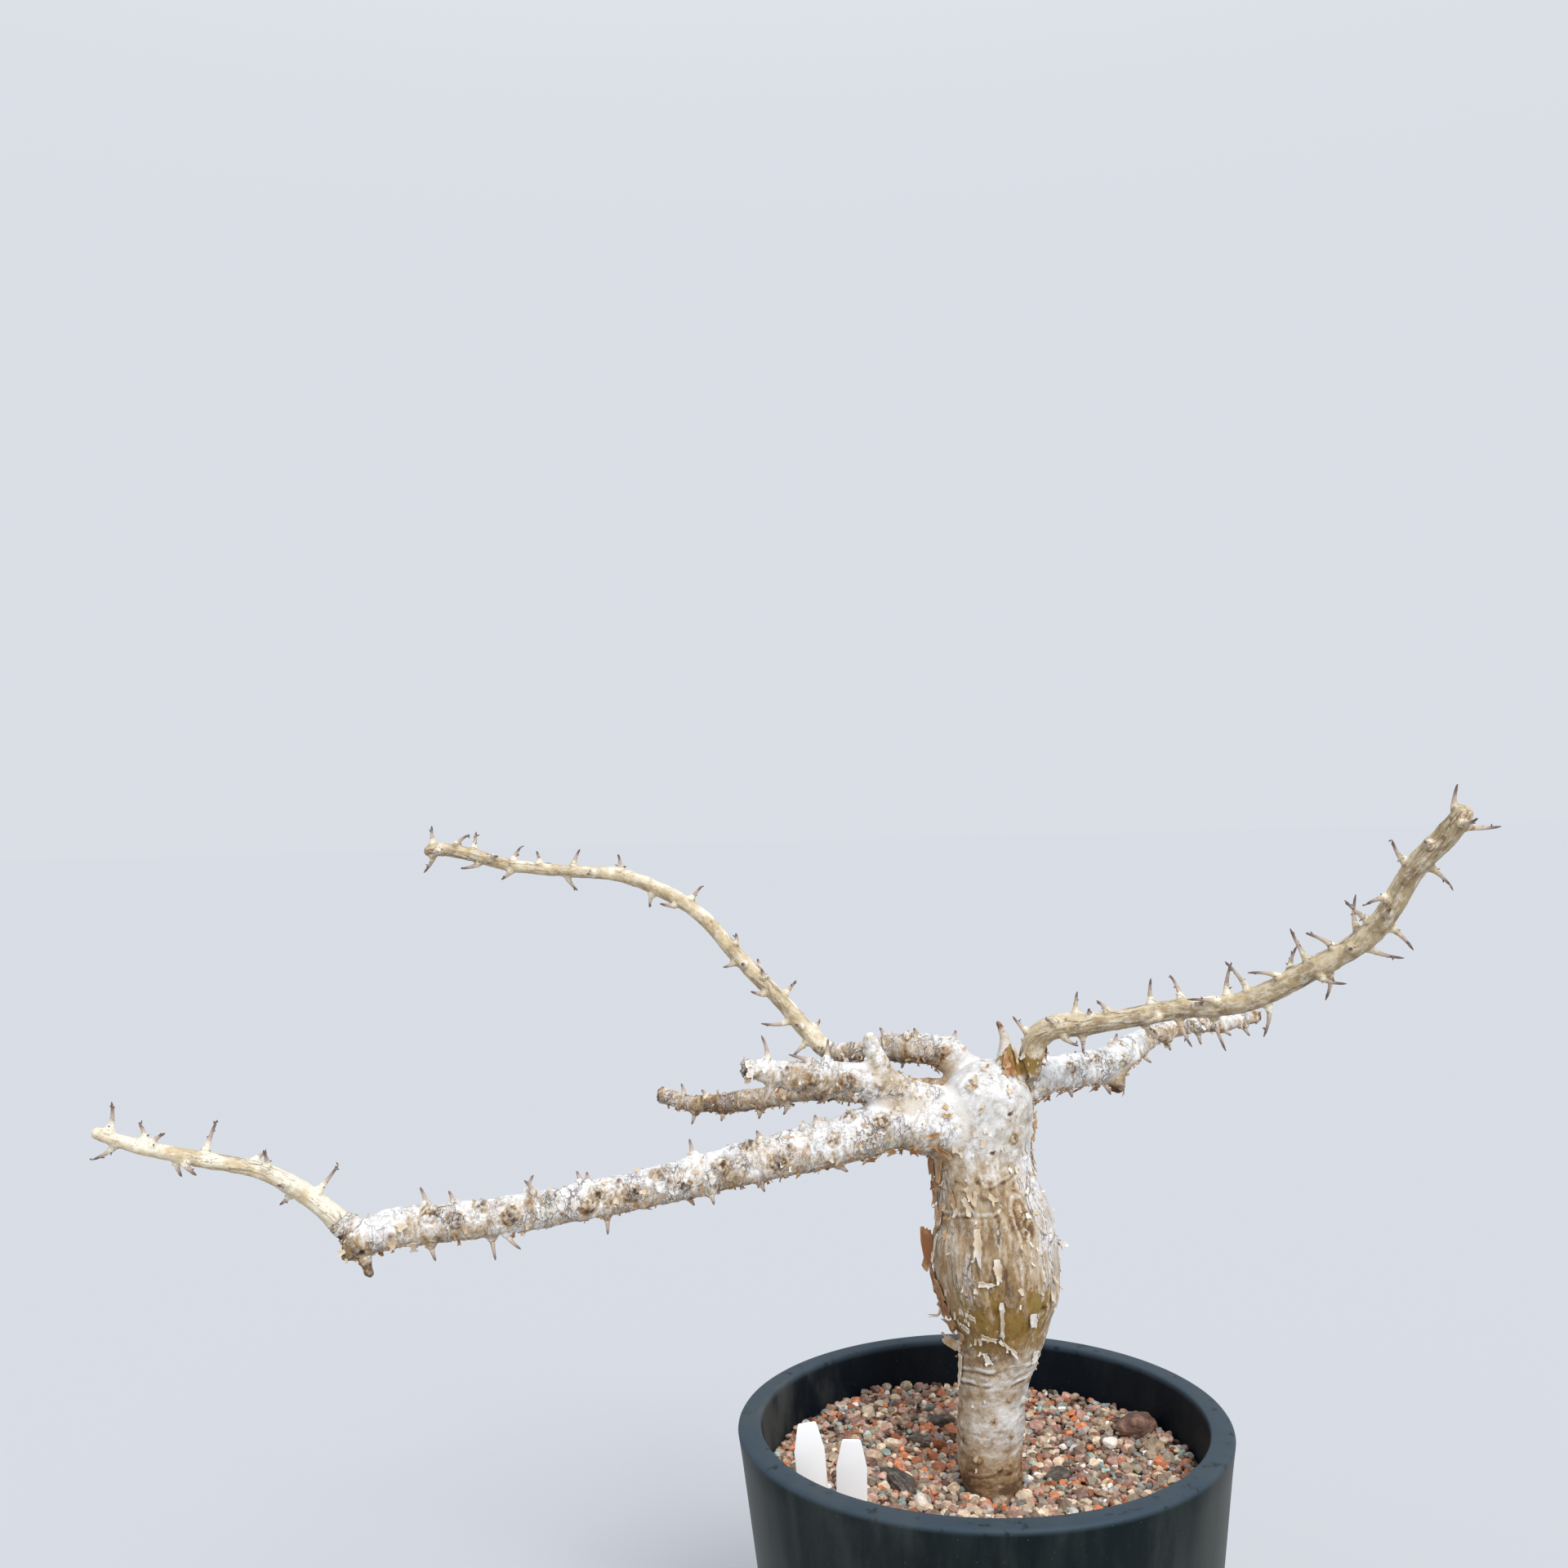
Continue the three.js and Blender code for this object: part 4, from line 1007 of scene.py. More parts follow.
class Effects:
    """Effects that several finishes share, each built once."""

    def __init__(self) -> None:
        """Builds all of them."""
        self.mottle = self._mottle()
        self.grain = self._grain()
        self.plates = self._plates()

    @staticmethod
    def _mottle() -> NodeTree:
        """Blotches of a second colour with finer blotches inside them."""
        graph, given, result = new_effect(
            "mottle",
            {"Vector": "Vector", "Scale": "Float", "First": "Color", "Second": "Color", "Cover": "Float"},
            {"Color": "Color"},
        )
        blotches = graph.noise(given.outputs["Vector"], given.outputs["Scale"], 6.0, 0.62)
        mask = graph.ramp(graph.plus(blotches, graph.minus(given.outputs["Cover"], 0.5)), 0.42, 0.58)
        graph.feed(result.inputs["Color"], graph.mix(mask, given.outputs["First"], given.outputs["Second"]))
        return graph.tree

    @staticmethod
    def _grain() -> NodeTree:
        """Fine height for bumps: two sizes of noise and small pits."""
        graph, given, result = new_effect(
            "grain",
            {"Vector": "Vector", "Scale": "Float", "Pits": "Float"},
            {"Height": "Float"},
        )
        vector, scale = given.outputs["Vector"], given.outputs["Scale"]
        pits = graph.ramp(graph.cell(vector, scale), 0.0, 0.35)
        deep = graph.times(graph.minus(pits, 1.0), given.outputs["Pits"])
        graph.feed(result.inputs["Height"], graph.plus(graph.noise(vector, scale, 8.0, 0.65), deep))
        return graph.tree

    @staticmethod
    def _plates() -> NodeTree:
        """Papery plates torn apart in patches, each with its own tone, dark cracks and lit lips."""
        graph, given, result = new_effect(
            "torn_plates",
            {"Vector": "Vector", "Scale": "Float", "Share": "Float"},
            {name: "Float" for name in ("Height", "Tone", "Crack", "Lip")},
        )
        scaler = graph.add("ShaderNodeVectorMath", operation="SCALE")
        values = {"Vector": given.outputs["Vector"], "Scale": given.outputs["Scale"]}
        scaled = graph.fill(scaler, values).outputs[0]
        wobble = graph.add("ShaderNodeTexNoise")
        graph.fill(wobble, {"Vector": scaled, "Scale": 1.7, "Detail": 4.0})
        torn = graph.add("ShaderNodeVectorMath", operation="MULTIPLY_ADD")
        for number, source in enumerate((wobble.outputs["Color"], (1.3, 1.3, 1.3), scaled)):
            graph.feed(torn.inputs[number], source)
        edge = graph.cell(torn.outputs[0], 1.0, "DISTANCE_TO_EDGE")
        tone = graph.cell(torn.outputs[0], 1.0, "F1", "Color")
        patch = graph.plus(graph.noise(scaled, 0.4), graph.times(given.outputs["Share"], 0.3))
        patch = graph.ramp(patch, 0.78, 0.88)
        inner = graph.ramp(edge, 0.07, 0.24, 1.0, 0.0)
        crack = graph.ramp(edge, 0.0, 0.07, 1.0, 0.0)
        graph.feed(result.inputs["Crack"], graph.times(crack, patch))
        lip = graph.times(graph.minus(inner, crack), patch)
        graph.feed(result.inputs["Lip"], lip)
        graph.feed(result.inputs["Tone"], tone)
        raised = graph.plus(lip, graph.times(tone, 0.5))
        graph.feed(result.inputs["Height"], graph.minus(raised, graph.times(crack, patch)))
        return graph.tree


def new_finish(name: str) -> tuple[Material, Graph, Node]:
    """Empty material.

    Args:
        name: Material name.

    Returns:
        The material, its graph and its surface shader.
    """
    material = bpy.data.materials.new(name)
    material.use_nodes = True
    graph = Graph(material.node_tree)
    return material, graph, material.node_tree.nodes["Principled BSDF"]


class Finish(ABC):
    """A material made of procedural nodes round one surface shader."""

    name: str

    def material(self, effects: Effects) -> Material:
        """Builds the material with the shared effects."""
        material, graph, surface = new_finish(self.name)
        graph.fill(surface, self.paint(graph, effects))
        return material

    @abstractmethod
    def paint(self, graph: Graph, effects: Effects) -> dict[str, Input]:
        """Adds the finish's own nodes.

        Args:
            graph: The material's graph.
            effects: The shared effects.

        Returns:
            What goes into the surface shader, by the names of its inputs.
        """


@dataclass(frozen=True)
class OldBarkFinish(Finish):
    """White papery bark in torn layers over tan and ochre ones, dark in its scars."""

    name: str = "old_bark"
    tones: tuple[Colour, ...] = (
        (0.13, 0.075, 0.04), (0.31, 0.20, 0.105), (0.49, 0.38, 0.255), (0.68, 0.61, 0.53), (0.87, 0.86, 0.86),
    )
    umber: Colour = (0.15, 0.085, 0.045)
    white: Colour = (0.89, 0.88, 0.875)
    stain: Colour = (0.47, 0.25, 0.12)
    gold: Colour = (0.31, 0.20, 0.055)
    amber: Colour = (0.25, 0.12, 0.032)
    scar: Colour = (0.045, 0.028, 0.018)
    lichen: Colour = (0.36, 0.37, 0.22)

    def paint(self, graph: Graph, effects: Effects) -> dict[str, Input]:
        """Adds the nodes.

        Args:
            graph: The material's graph.
            effects: The shared effects.

        Returns:
            What goes into the surface shader, by the names of its inputs.
        """
        place = graph.place()
        weave = graph.flow("weave")
        peel = graph.stored("peel")
        calm = graph.stored("calm")
        torn = graph.times(peel, calm)
        wide = graph.group(effects.plates, vector=weave, scale=0.17, share=torn)
        fine = graph.group(effects.plates, vector=weave, scale=0.42, share=graph.times(torn, 0.95))
        spread = graph.ramp(peel, 0.0, 1.0, 0.45, 1.0)
        value = graph.stored("bleach_and_painted_light")
        woven = graph.times(spread, calm)
        parts = (
            (wide.outputs["Tone"], 0.30, woven), (fine.outputs["Tone"], 0.14, woven),
            (graph.noise(weave, 0.30, 6.0), 1.25, woven), (graph.noise(place, 48.0, 5.0), 0.95, spread),
            (graph.noise(place, 240.0, 5.0, 0.6), 0.46, spread),
            (graph.noise(place, 800.0, 3.0, 0.6), 0.34, spread),
        )
        for source, share, reach in parts:
            change = graph.swing(source, share)
            value = graph.plus(value, graph.times(change, reach))
        colour = graph.tones(value, self.tones)
        lichen = graph.times(graph.ramp(graph.noise(place, 30.0, 4.0), 0.56, 0.70), 0.35)
        colour = graph.mix(lichen, colour, self.lichen)
        stained = graph.ramp(graph.noise(place, 52.0, 6.0, 0.6, 0.4), 0.57, 0.66, 0.0, 0.5)
        colour = graph.mix(graph.times(stained, torn), colour, self.stain)
        pale = graph.minus(graph.stored("bleach_and_painted_light"), graph.times(peel, 0.4))
        colour = graph.adjusted(colour, "Saturation", graph.ramp(pale, 0.28, 0.55, 1.0, 0.3))
        for plate, crack, lip in ((wide, 0.65, 0.5), (fine, 0.25, 0.25)):
            colour = graph.mix(graph.times(plate.outputs["Lip"], lip), colour, self.white)
            colour = graph.mix(graph.times(plate.outputs["Crack"], crack), colour, self.umber)
        split = graph.math("ABSOLUTE", graph.minus(graph.noise(place, 150.0, 6.0, 0.65), 0.5))
        where = graph.ramp(graph.noise(place, 70.0), 0.46, 0.56)
        split = graph.times(graph.ramp(split, 0.0, 0.016, 0.5, 0.0), where)
        colour = graph.mix(split, colour, self.umber)
        values = {"vector": weave, "scale": 0.3, "first": self.gold, "second": self.amber}
        golden = graph.group(effects.mottle, cover=0.42, **values)
        bare = graph.stored("gold")
        streak = graph.noise(graph.stretch(weave, (1.0, 1.0, 0.5)), 0.8, 4.0, 0.6)
        shown = graph.plus(bare, graph.swing(streak, 1.2))
        shown = graph.times(graph.ramp(shown, 0.28, 0.52), graph.ramp(bare, 0.3, 0.8, 0.65, 1.0))
        colour = graph.mix(shown, colour, golden.outputs["Color"])
        colour = graph.mix(graph.stored("scar"), colour, self.scar)
        roughness = graph.ramp(bare, 0.3, 1.0, 0.78, 0.45)
        grain = graph.group(effects.grain, vector=place, scale=900.0, pits=0.5)
        normal = graph.bump(graph.times(wide.outputs["Height"], calm), 0.7, 0.0006)
        normal = graph.bump(graph.times(fine.outputs["Height"], calm), 0.6, 0.00035, normal)
        normal = graph.bump(graph.minus(graph.noise(place, 420.0, 5.0, 0.65), split), 0.45, 0.0006, normal)
        normal = graph.bump(grain.outputs["Height"], 0.5, 0.0004, normal)
        return {"Base Color": colour, "Roughness": roughness, "Specular IOR Level": 0.3, "Normal": normal}


@dataclass(frozen=True)
class YoungBarkFinish(Finish):
    """Smooth cream bark with fine lengthwise cracks, and spines that darken to brown tips."""

    name: str = "young_bark"
    tones: tuple[Colour, ...] = (
        (0.23, 0.16, 0.085), (0.41, 0.305, 0.168), (0.605, 0.485, 0.295), (0.87, 0.79, 0.635),
    )
    film: Colour = (0.78, 0.725, 0.63)
    crack: Colour = (0.14, 0.085, 0.045)
    spine: Colour = (0.50, 0.39, 0.32)
    tip: Colour = (0.15, 0.10, 0.08)

    def paint(self, graph: Graph, effects: Effects) -> dict[str, Input]:
        """Adds the nodes.

        Args:
            graph: The material's graph.
            effects: The shared effects.

        Returns:
            What goes into the surface shader, by the names of its inputs.
        """
        place = graph.place()
        weave = graph.flow("weave")
        fine = graph.group(effects.plates, vector=weave, scale=0.22, share=1.05)
        value = graph.plus(graph.stored("bleach_and_painted_light"), graph.swing(fine.outputs["Tone"], 0.22))
        blotch = graph.swing(graph.noise(place, 90.0, 5.0), 1.1)
        colour = graph.tones(graph.plus(value, blotch), self.tones)
        lines = graph.math("ABSOLUTE", graph.minus(graph.noise(weave, 0.5), 0.5))
        lines = graph.ramp(lines, 0.0, 0.014, 1.0, 0.0)
        cracks = graph.times(lines, graph.ramp(graph.noise(place, 110.0, 2.0), 0.46, 0.6, 0.0, 0.8))
        cracks = graph.math("MAXIMUM", cracks, graph.times(fine.outputs["Crack"], 0.8))
        patches = graph.noise(graph.stretch(weave, (1.0, 1.0, 2.6)), 0.45, 7.0, 0.7)
        film = graph.ramp(patches, 0.47, 0.60, 0.0, 0.5)
        colour = graph.mix(film, colour, self.film)
        specks = graph.ramp(graph.noise(place, 900.0, 3.0), 0.60, 0.70, 0.0, 0.55)
        colour = graph.mix(specks, colour, self.crack)
        colour = graph.mix(cracks, colour, self.crack)
        colour = graph.mix(graph.ramp(graph.stored("tip"), 0.1, 0.5), colour, self.spine)
        colour = graph.mix(graph.ramp(graph.stored("tip"), 0.55, 1.0), colour, self.tip)
        grain = graph.group(effects.grain, vector=place, scale=700.0, pits=0.3)
        normal = graph.bump(graph.minus(fine.outputs["Height"], cracks), 0.5, 0.00025)
        normal = graph.bump(grain.outputs["Height"], 0.3, 0.0003, normal)
        return {"Base Color": colour, "Roughness": 0.6, "Specular IOR Level": 0.35, "Normal": normal}


@dataclass(frozen=True)
class FlakeFinish(Finish):
    """Thin bark flakes: white to cream outside, some orange brown, and those on undersides darker as painted
    shade.
    """

    name: str = "bark_flake"
    tones: tuple[Colour, ...] = (
        (0.80, 0.76, 0.70), (0.62, 0.50, 0.35), (0.46, 0.27, 0.125), (0.29, 0.105, 0.03),
    )

    def paint(self, graph: Graph, effects: Effects) -> dict[str, Input]:
        """Adds the nodes.

        Args:
            graph: The material's graph.
            effects: The shared effects.

        Returns:
            What goes into the surface shader, by the names of its inputs.
        """
        place = graph.place()
        value = graph.plus(graph.stored("tone"), graph.noise(place, 220.0, 4.0, 0.6))
        colour = graph.tones(graph.minus(value, 0.5), self.tones)
        grain = graph.group(effects.grain, vector=place, scale=900.0, pits=0.2)
        normal = graph.bump(grain.outputs["Height"], 0.4, 0.0002)
        return {"Base Color": colour, "Roughness": 0.7, "Normal": normal}


@dataclass(frozen=True)
class RockFinish(Finish):
    """Stone of one colour family, with speckles and a matte grain."""

    name: str
    main: Colour
    second: Colour
    speck: Colour = (0.05, 0.04, 0.035)
    specks: float = 0.0
    scale: float = 350.0
    roughness: float = 0.85
    pits: float = 0.4
    relief: float = 0.0003

    def paint(self, graph: Graph, effects: Effects) -> dict[str, Input]:
        """Adds the nodes.

        Args:
            graph: The material's graph.
            effects: The shared effects.

        Returns:
            What goes into the surface shader, by the names of its inputs.
        """
        place = graph.place()
        values = {"vector": place, "scale": self.scale, "first": self.main, "second": self.second}
        colour = graph.group(effects.mottle, cover=0.46, **values).outputs["Color"]
        if self.specks > 0.0:
            dots = graph.ramp(graph.cell(place, self.scale * 3.5), 0.0, 0.32, self.specks, 0.0)
            colour = graph.mix(dots, colour, self.speck)
        shade = graph.ramp(graph.stored("shade"), 0.0, 1.0, 0.52, 1.3)
        colour = graph.adjusted(colour, "Value", shade)
        grain = graph.group(effects.grain, vector=place, scale=self.scale * 3.0, pits=self.pits)
        normal = graph.bump(grain.outputs["Height"], 0.5, self.relief)
        return {"Base Color": colour, "Roughness": self.roughness, "Normal": normal}


@dataclass(frozen=True)
class PotFinish(Finish):
    """Dark blue-grey plastic: dusty, streaked down its side, paler and scuffed on its rim, with painted shade
    on its inner wall and a painted sheen at grazing angles to the view.
    """

    name: str = "pot_plastic"
    dark: Colour = (0.0025, 0.0075, 0.0085)
    worn: Colour = (0.009, 0.016, 0.016)
    rim: Colour = (0.040, 0.062, 0.082)
    # The dust colour is also the colour of the painted sheen.
    dust: Colour = (0.13, 0.135, 0.125)
    # Painted shade: the darker colour of the inner wall.
    inside: Colour = (0.002, 0.005, 0.009)
    rim_height: float = 0.2385

    def paint(self, graph: Graph, effects: Effects) -> dict[str, Input]:
        """Adds the nodes.

        Args:
            graph: The material's graph.
            effects: The shared effects.

        Returns:
            What goes into the surface shader, by the names of its inputs.
        """
        place = graph.place()
        streaks = graph.stretch(place, (1.0, 1.0, 0.12))
        blown = graph.stretch(place, (1.0, 1.0, 0.4))
        values = {"vector": streaks, "scale": 38.0, "first": self.dark, "second": self.worn}
        body = graph.group(effects.mottle, cover=0.5, **values)
        split = graph.axes(place)
        on_rim = graph.ramp(split.outputs["Z"], self.rim_height - 0.0025, self.rim_height + 0.0008)
        values = {"vector": place, "scale": 120.0, "first": self.rim, "second": self.worn}
        rim = graph.group(effects.mottle, cover=0.36, **values)
        within = graph.ramp(graph.stored("inner"), 0.3, 0.7)
        # Painted shade: the inner wall is mixed towards the darker inside colour.
        colour = graph.mix(within, body.outputs["Color"], self.inside)
        colour = graph.mix(on_rim, colour, rim.outputs["Color"])
        leftward = graph.times(within, graph.ramp(split.outputs["X"], -0.055, -0.105))
        cover = graph.plus(graph.ramp(within, 0.0, 1.0, 0.16, 0.06), graph.times(leftward, 0.4))
        smudge = graph.times(graph.ramp(graph.noise(blown, 30.0, 5.0, 0.6, 0.15), 0.42, 0.72), cover)
        dots = graph.ramp(graph.noise(place, 900.0, 2.0, 0.5), 0.68, 0.78, 0.0, 0.5)
        dusty = graph.math("MAXIMUM", smudge, dots)
        colour = graph.mix(dusty, colour, self.dust)
        # Painted sheen: the outer wall is mixed towards the dust colour where it turns away from the view.
        turned = graph.add("ShaderNodeLayerWeight")
        turned.inputs["Blend"].default_value = 0.5
        painted_grazing_sheen = graph.ramp(turned.outputs["Facing"], 0.45, 1.0, 0.0, 0.55)
        for mask in (within, on_rim):
            painted_grazing_sheen = graph.times(painted_grazing_sheen, graph.ramp(mask, 0.0, 1.0, 1.0, 0.0))
        colour = graph.mix(painted_grazing_sheen, colour, self.dust)
        roughness = graph.ramp(dusty, 0.0, 0.4, 0.52, 0.8)
        grain = graph.group(effects.grain, vector=place, scale=1400.0, pits=0.15)
        scratch = graph.noise(graph.stretch(place, (1.0, 1.0, 9.0)), 160.0, 4.0, 0.7)
        normal = graph.bump(grain.outputs["Height"], 0.18, 0.0002, graph.bump(scratch, 0.12, 0.0004))
        return {"Base Color": colour, "Roughness": roughness, "Specular IOR Level": 0.13, "Normal": normal}


@dataclass(frozen=True)
class LabelFinish(Finish):
    """Blank white plastic with a breath of dust at its foot."""

    name: str = "label_plastic"
    white: Colour = (1.0, 1.0, 1.0)
    dust: Colour = (0.50, 0.44, 0.38)
    foot: float = 0.206

    def paint(self, graph: Graph, effects: Effects) -> dict[str, Input]:
        """Adds the nodes.

        Args:
            graph: The material's graph.
            effects: The shared effects.

        Returns:
            What goes into the surface shader, by the names of its inputs.
        """
        place = graph.place()
        split = graph.axes(place)
        low = graph.ramp(split.outputs["Z"], self.foot, self.foot + 0.012, 0.7, 0.04)
        dusty = graph.times(low, graph.noise(place, 300.0, 4.0))
        colour = graph.mix(dusty, self.white, self.dust)
        grain = graph.group(effects.grain, vector=place, scale=700.0, pits=0.0)
        normal = graph.bump(grain.outputs["Height"], 0.06, 0.0002)
        return {"Base Color": colour, "Roughness": 0.38, "Normal": normal}


# Plant


@dataclass
class Bark:
    """The old wood's whole surface, for loose pieces to sit on."""

    places: Array
    facing: Array
    reading: StemReading
    stems: list[Stem]


@dataclass
class OldWood:
    """Trunk, crown and old limbs: one skin with torn papery bark, rings, knots and stub spines."""

    voxel: float = 0.88
    buried_end: float = 44.0
    stub_root: float = 2.2
    stub_tip: float = 0.65
    limbs: tuple[tuple[Stem, list[SpinePlace], float], ...] = (
        (LEFT_LIMB, LEFT_LIMB_STUBS, 0.74),
        (WHITE_STUB, WHITE_STUB_SPINES, 0.78),
        (STUB_KNOB, [], 0.72),
        (BACK_LIMB, BACK_LIMB_SPINES, 0.38),
        (LOWER_LEFT_LIMB, LOWER_LEFT_LIMB_SPINES, 0.36),
        (RIGHT_BACK_LIMB, RIGHT_BACK_LIMB_SPINES, 0.88),
        (BROKEN_BRANCH, [], 0.45),
        (CONE_STUB, [], 0.80),
    )
    collars: tuple[tuple[Stem, float], ...] = (
        (LEFT_SHOOT, 18.0), (UPPER_LEFT_SHOOT, 28.0), (RIGHT_SHOOT, 22.0),
    )
    rings: tuple[tuple[float, float], ...] = (
        (216.0, 0.2), (240.0, 0.2), (265.0, 0.5), (272.0, 0.4), (360.0, 0.25), (374.0, 0.2),
    )
    sheath: tuple[float, float, float] = (26.0, -7.0, 436.0)
    sheath_half: tuple[float, float, float] = (13.0, 13.0, 9.0)
    torn_spots: tuple[tuple[float, float, float, float], ...] = (
        (-329.0, -76.0, 359.0, 8.5), (-319.5, -79.5, 357.0, 3.4), (-126.5, -30.0, 434.5, 3.4),
    )
    hanging_wood: tuple[float, float, float] = (-316.5, -74.5, 348.0)
    tone_changes: tuple[tuple[Stem, float, float, float], ...] = (
        (RIGHT_BACK_LIMB, 100.0, 140.0, -0.36), (BACK_LIMB, 60.0, 25.0, 0.35),
    )
    deepest: float = -4.0

    def stems(self) -> list[Stem]:
        """All the stems under the skin, trunk first."""
        return [TRUNK, *(stem for stem, _, _ in self.limbs), *(stem for stem, _ in self.collars)]

    def form(self) -> Object:
        """The bare skin over trunk, limbs, collars and the flared feet of the stub spines."""
        tubes = [TRUNK.tube(start=self.buried_end)]
        tubes += [TRUNK.spine(knob, 1.9, 0.9) for knob in TRUNK_KNOBS]
        for stem, spines, _ in self.limbs:
            tubes.append(stem.tube(blunt=1.0 if stem is CONE_STUB else 2.6))
            tubes += [stem.spine(spine, self.stub_root, self.stub_tip, 0.3) for spine in spines]
        tubes += [stem.tube(end=end, blunt=3.0) for stem, end in self.collars]
        tubes += [(np.array(path, float), np.array(girth)) for path, girth in TORN_ENDS]
        return grown_body("old_wood_crown", tubes, self.voxel, 2)

    def relieve(self, piece: Object) -> Bark:
        """Raises the bark's relief and stores what its finish reads.

        Args:
            piece: The bare skin.

        Returns:
            The finished surface.
        """
        places = positions(piece)
        stems = self.stems()
        reading = read_stems(places, stems)
        ends = edges(piece)
        owners = reading.stem[ends]
        meeting = (owners[:, 0] != owners[:, 1]) & (owners.max(axis=1) <= len(self.limbs))
        seam = np.zeros(len(places))
        seam[ends[meeting]] = 1.0
        fillet = np.clip(self._blurred(piece, seam, 60) * 7.0, 0.0, 1.0)[:, None]
        soft = np.stack([self._blurred(piece, axis, 70) for axis in places.T], axis=1)
        places = places * (1.0 - fillet) + soft * fillet
        set_positions(piece, places)
        facing = normals(piece)
        noise = Noise(5)
        on_trunk = self._blurred(piece, (reading.stem == 0) * 1.0, 60)
        limb = 1.0 - on_trunk
        height = places[:, 2] / MM
        crown = smoothstep(372.0, 396.0, height) * on_trunk
        ragged = 4.0 * noise.fractal(places / MM / 9.0, 3)
        foot = (1.0 - smoothstep(274.0, 284.0, height + ragged)) * on_trunk
        bulge = on_trunk - crown - foot
        local = reading.local
        weave = self._weave(reading, height, on_trunk)

        rough = noise.fractal(local / 2.6, 4, 0.62)
        broad = noise.fractal(local / 13.0, 3)
        fibres = noise.fractal(local / np.array([2.2, 2.2, 26.0]), 3)
        rings = noise.fractal(local / np.array([30.0, 30.0, 2.4]), 3)
        layers = noise.fractal(weave / 8.0, 5, 0.55) * 2.8 + 8.0
        part = layers - np.floor(layers)
        terrace = np.floor(layers) + smoothstep(0.0, 0.14, part) - 8.0
        patch = smoothstep(-0.15, 0.3, noise.fractal(local / 12.0 + 70.0, 3))
        lift = 0.30 * broad + terrace * (0.16 * bulge * patch + 0.10 * foot * patch + 0.30 * limb)
        lift += bulge * 0.16 * fibres + foot * 0.07 * rings + limb * (0.16 * rings + 0.16 * rough * patch)
        lift += (crown + foot) * 0.07 * rough

        golden = self._golden_patch(reading, height, noise) * bulge
        lift -= 0.45 * golden
        sheath = (places / MM - np.array(self.sheath)) / np.array(self.sheath_half)
        sheath = np.linalg.norm(sheath, axis=1)
        golden = np.maximum(golden, 1.0 - smoothstep(0.75, 1.05, sheath + 0.25 * rough))
        scar = np.zeros(len(places))
        crumple = noise.fractal(places / MM / 1.9, 3, 0.7)
        brown = np.zeros(len(places))
        for stem, rows in KNOTS:
            for row in rows:
                lift, brown, scar = self._knot(places, (stem, *row), crumple, lift, brown, scar)
        for slit in SLITS:
            depth, dark = self._slit(places, slit, crumple)
            lift += depth
            scar = np.maximum(scar, dark)
        loop, inside = self._loop_scar(reading)
        lift += 1.0 * loop - 0.6 * inside
        brown = np.maximum(brown, 0.7 * inside * smoothstep(0.3, -0.2, crumple))
        lit = 0.12 * loop
        for level, depth in self.rings:
            above, broken = self._ring(places, local, level, noise)
            lift += depth * on_trunk * broken * (1.1 * bell(above) - 0.9 * bell(above + 1.9, 0.8))
            lit = lit + 0.5 * depth * on_trunk * broken * bell(above, 1.1)
        cone = reading.stem == len(self.limbs)
        tip = cone * smoothstep(33.5, 36.5, reading.distance)
        lift -= 0.7 * tip
        neck = cone * bell(reading.distance - 27.0 + crumple, 1.3)
        lift += neck * (0.5 + 1.5 * crumple)
        brown = np.maximum(brown, np.maximum(tip, neck))
        golden = np.maximum(golden, cone * smoothstep(25.5, 23.0, reading.distance + 2.0 * crumple))

        spread = np.clip(reading.over, 0.0, None)
        lift *= 1.0 - 0.8 * smoothstep(1.5, 4.0, spread)
        hollow, edge = self._broken_ends(reading, crumple)
        lump, cavity, torn = (
            1.0 - smoothstep(0.7, 1.05, away_from(places, spot[:3]) / spot[3] + 0.3 * crumple)
            for spot in self.torn_spots
        )
        golden = np.maximum(golden, 0.42 * lump)
        brown = np.maximum(brown, 0.45 * lump * smoothstep(0.3, -0.2, crumple))
        hanging = 1.0 - smoothstep(4.5, 6.5, away_from(places, self.hanging_wood))
        brown = np.maximum(brown, hanging * (0.3 + 0.5 * smoothstep(0.2, -0.2, crumple)))
        hollow = np.maximum(hollow, np.maximum(cavity, torn))
        lift += edge * 0.8 * crumple - hollow * 2.6
        scar = np.maximum(scar, hollow)
        brown = np.maximum(brown, 0.8 * edge)
        lift = np.maximum(lift, self.deepest)
        seam = np.clip(self._blurred(piece, seam, 16) * 5.0, 0.0, 1.0)
        lift = lift * (1.0 - seam) + self._blurred(piece, lift, 24) * seam
        set_positions(piece, places + facing * (lift * MM)[:, None])
        # Painted shade and highlight: the bark is darkened where the relief dips below its neighbours and
        # lightened on its crests.
        cavity = np.clip((self._blurred(piece, lift) - lift) * (1.6 - 0.7 * limb), -0.12, 0.4)
        bleach_and_painted_light = self._bleach_and_painted_light(reading, height, facing, (crown, foot, bulge, limb))
        bleach_and_painted_light += lit - 0.75 * brown - cavity
        bleach_and_painted_light += (0.10 + 0.12 * limb) * noise.fractal(places / MM / 20.0, 3)
        bleach_and_painted_light = bleach_and_painted_light * (1.0 - fillet[:, 0]) + self._blurred(piece, bleach_and_painted_light, 60) * fillet[:, 0]
        set_value(piece, "bleach_and_painted_light", np.clip(bleach_and_painted_light, 0.0, 1.0))
        film = 0.24 + 0.24 * smoothstep(335.0, 285.0, height)
        film += 0.08 * smoothstep(0.48, 0.93, -np.sin(reading.turn))
        golden = np.maximum(golden, bulge * film)
        set_value(piece, "gold", golden * (1.0 - hollow))
        set_value(piece, "scar", np.clip(scar, 0.0, 1.0))
        peel = limb + 0.62 * bulge + 0.45 * foot + 0.55 * crown
        set_value(piece, "peel", peel)
        set_value(piece, "calm", 1.0 - smoothstep(0.3, 1.0, fillet[:, 0]))
        set_value(piece, "weave", weave)
        return Bark(positions(piece), normals(piece), reading, stems)

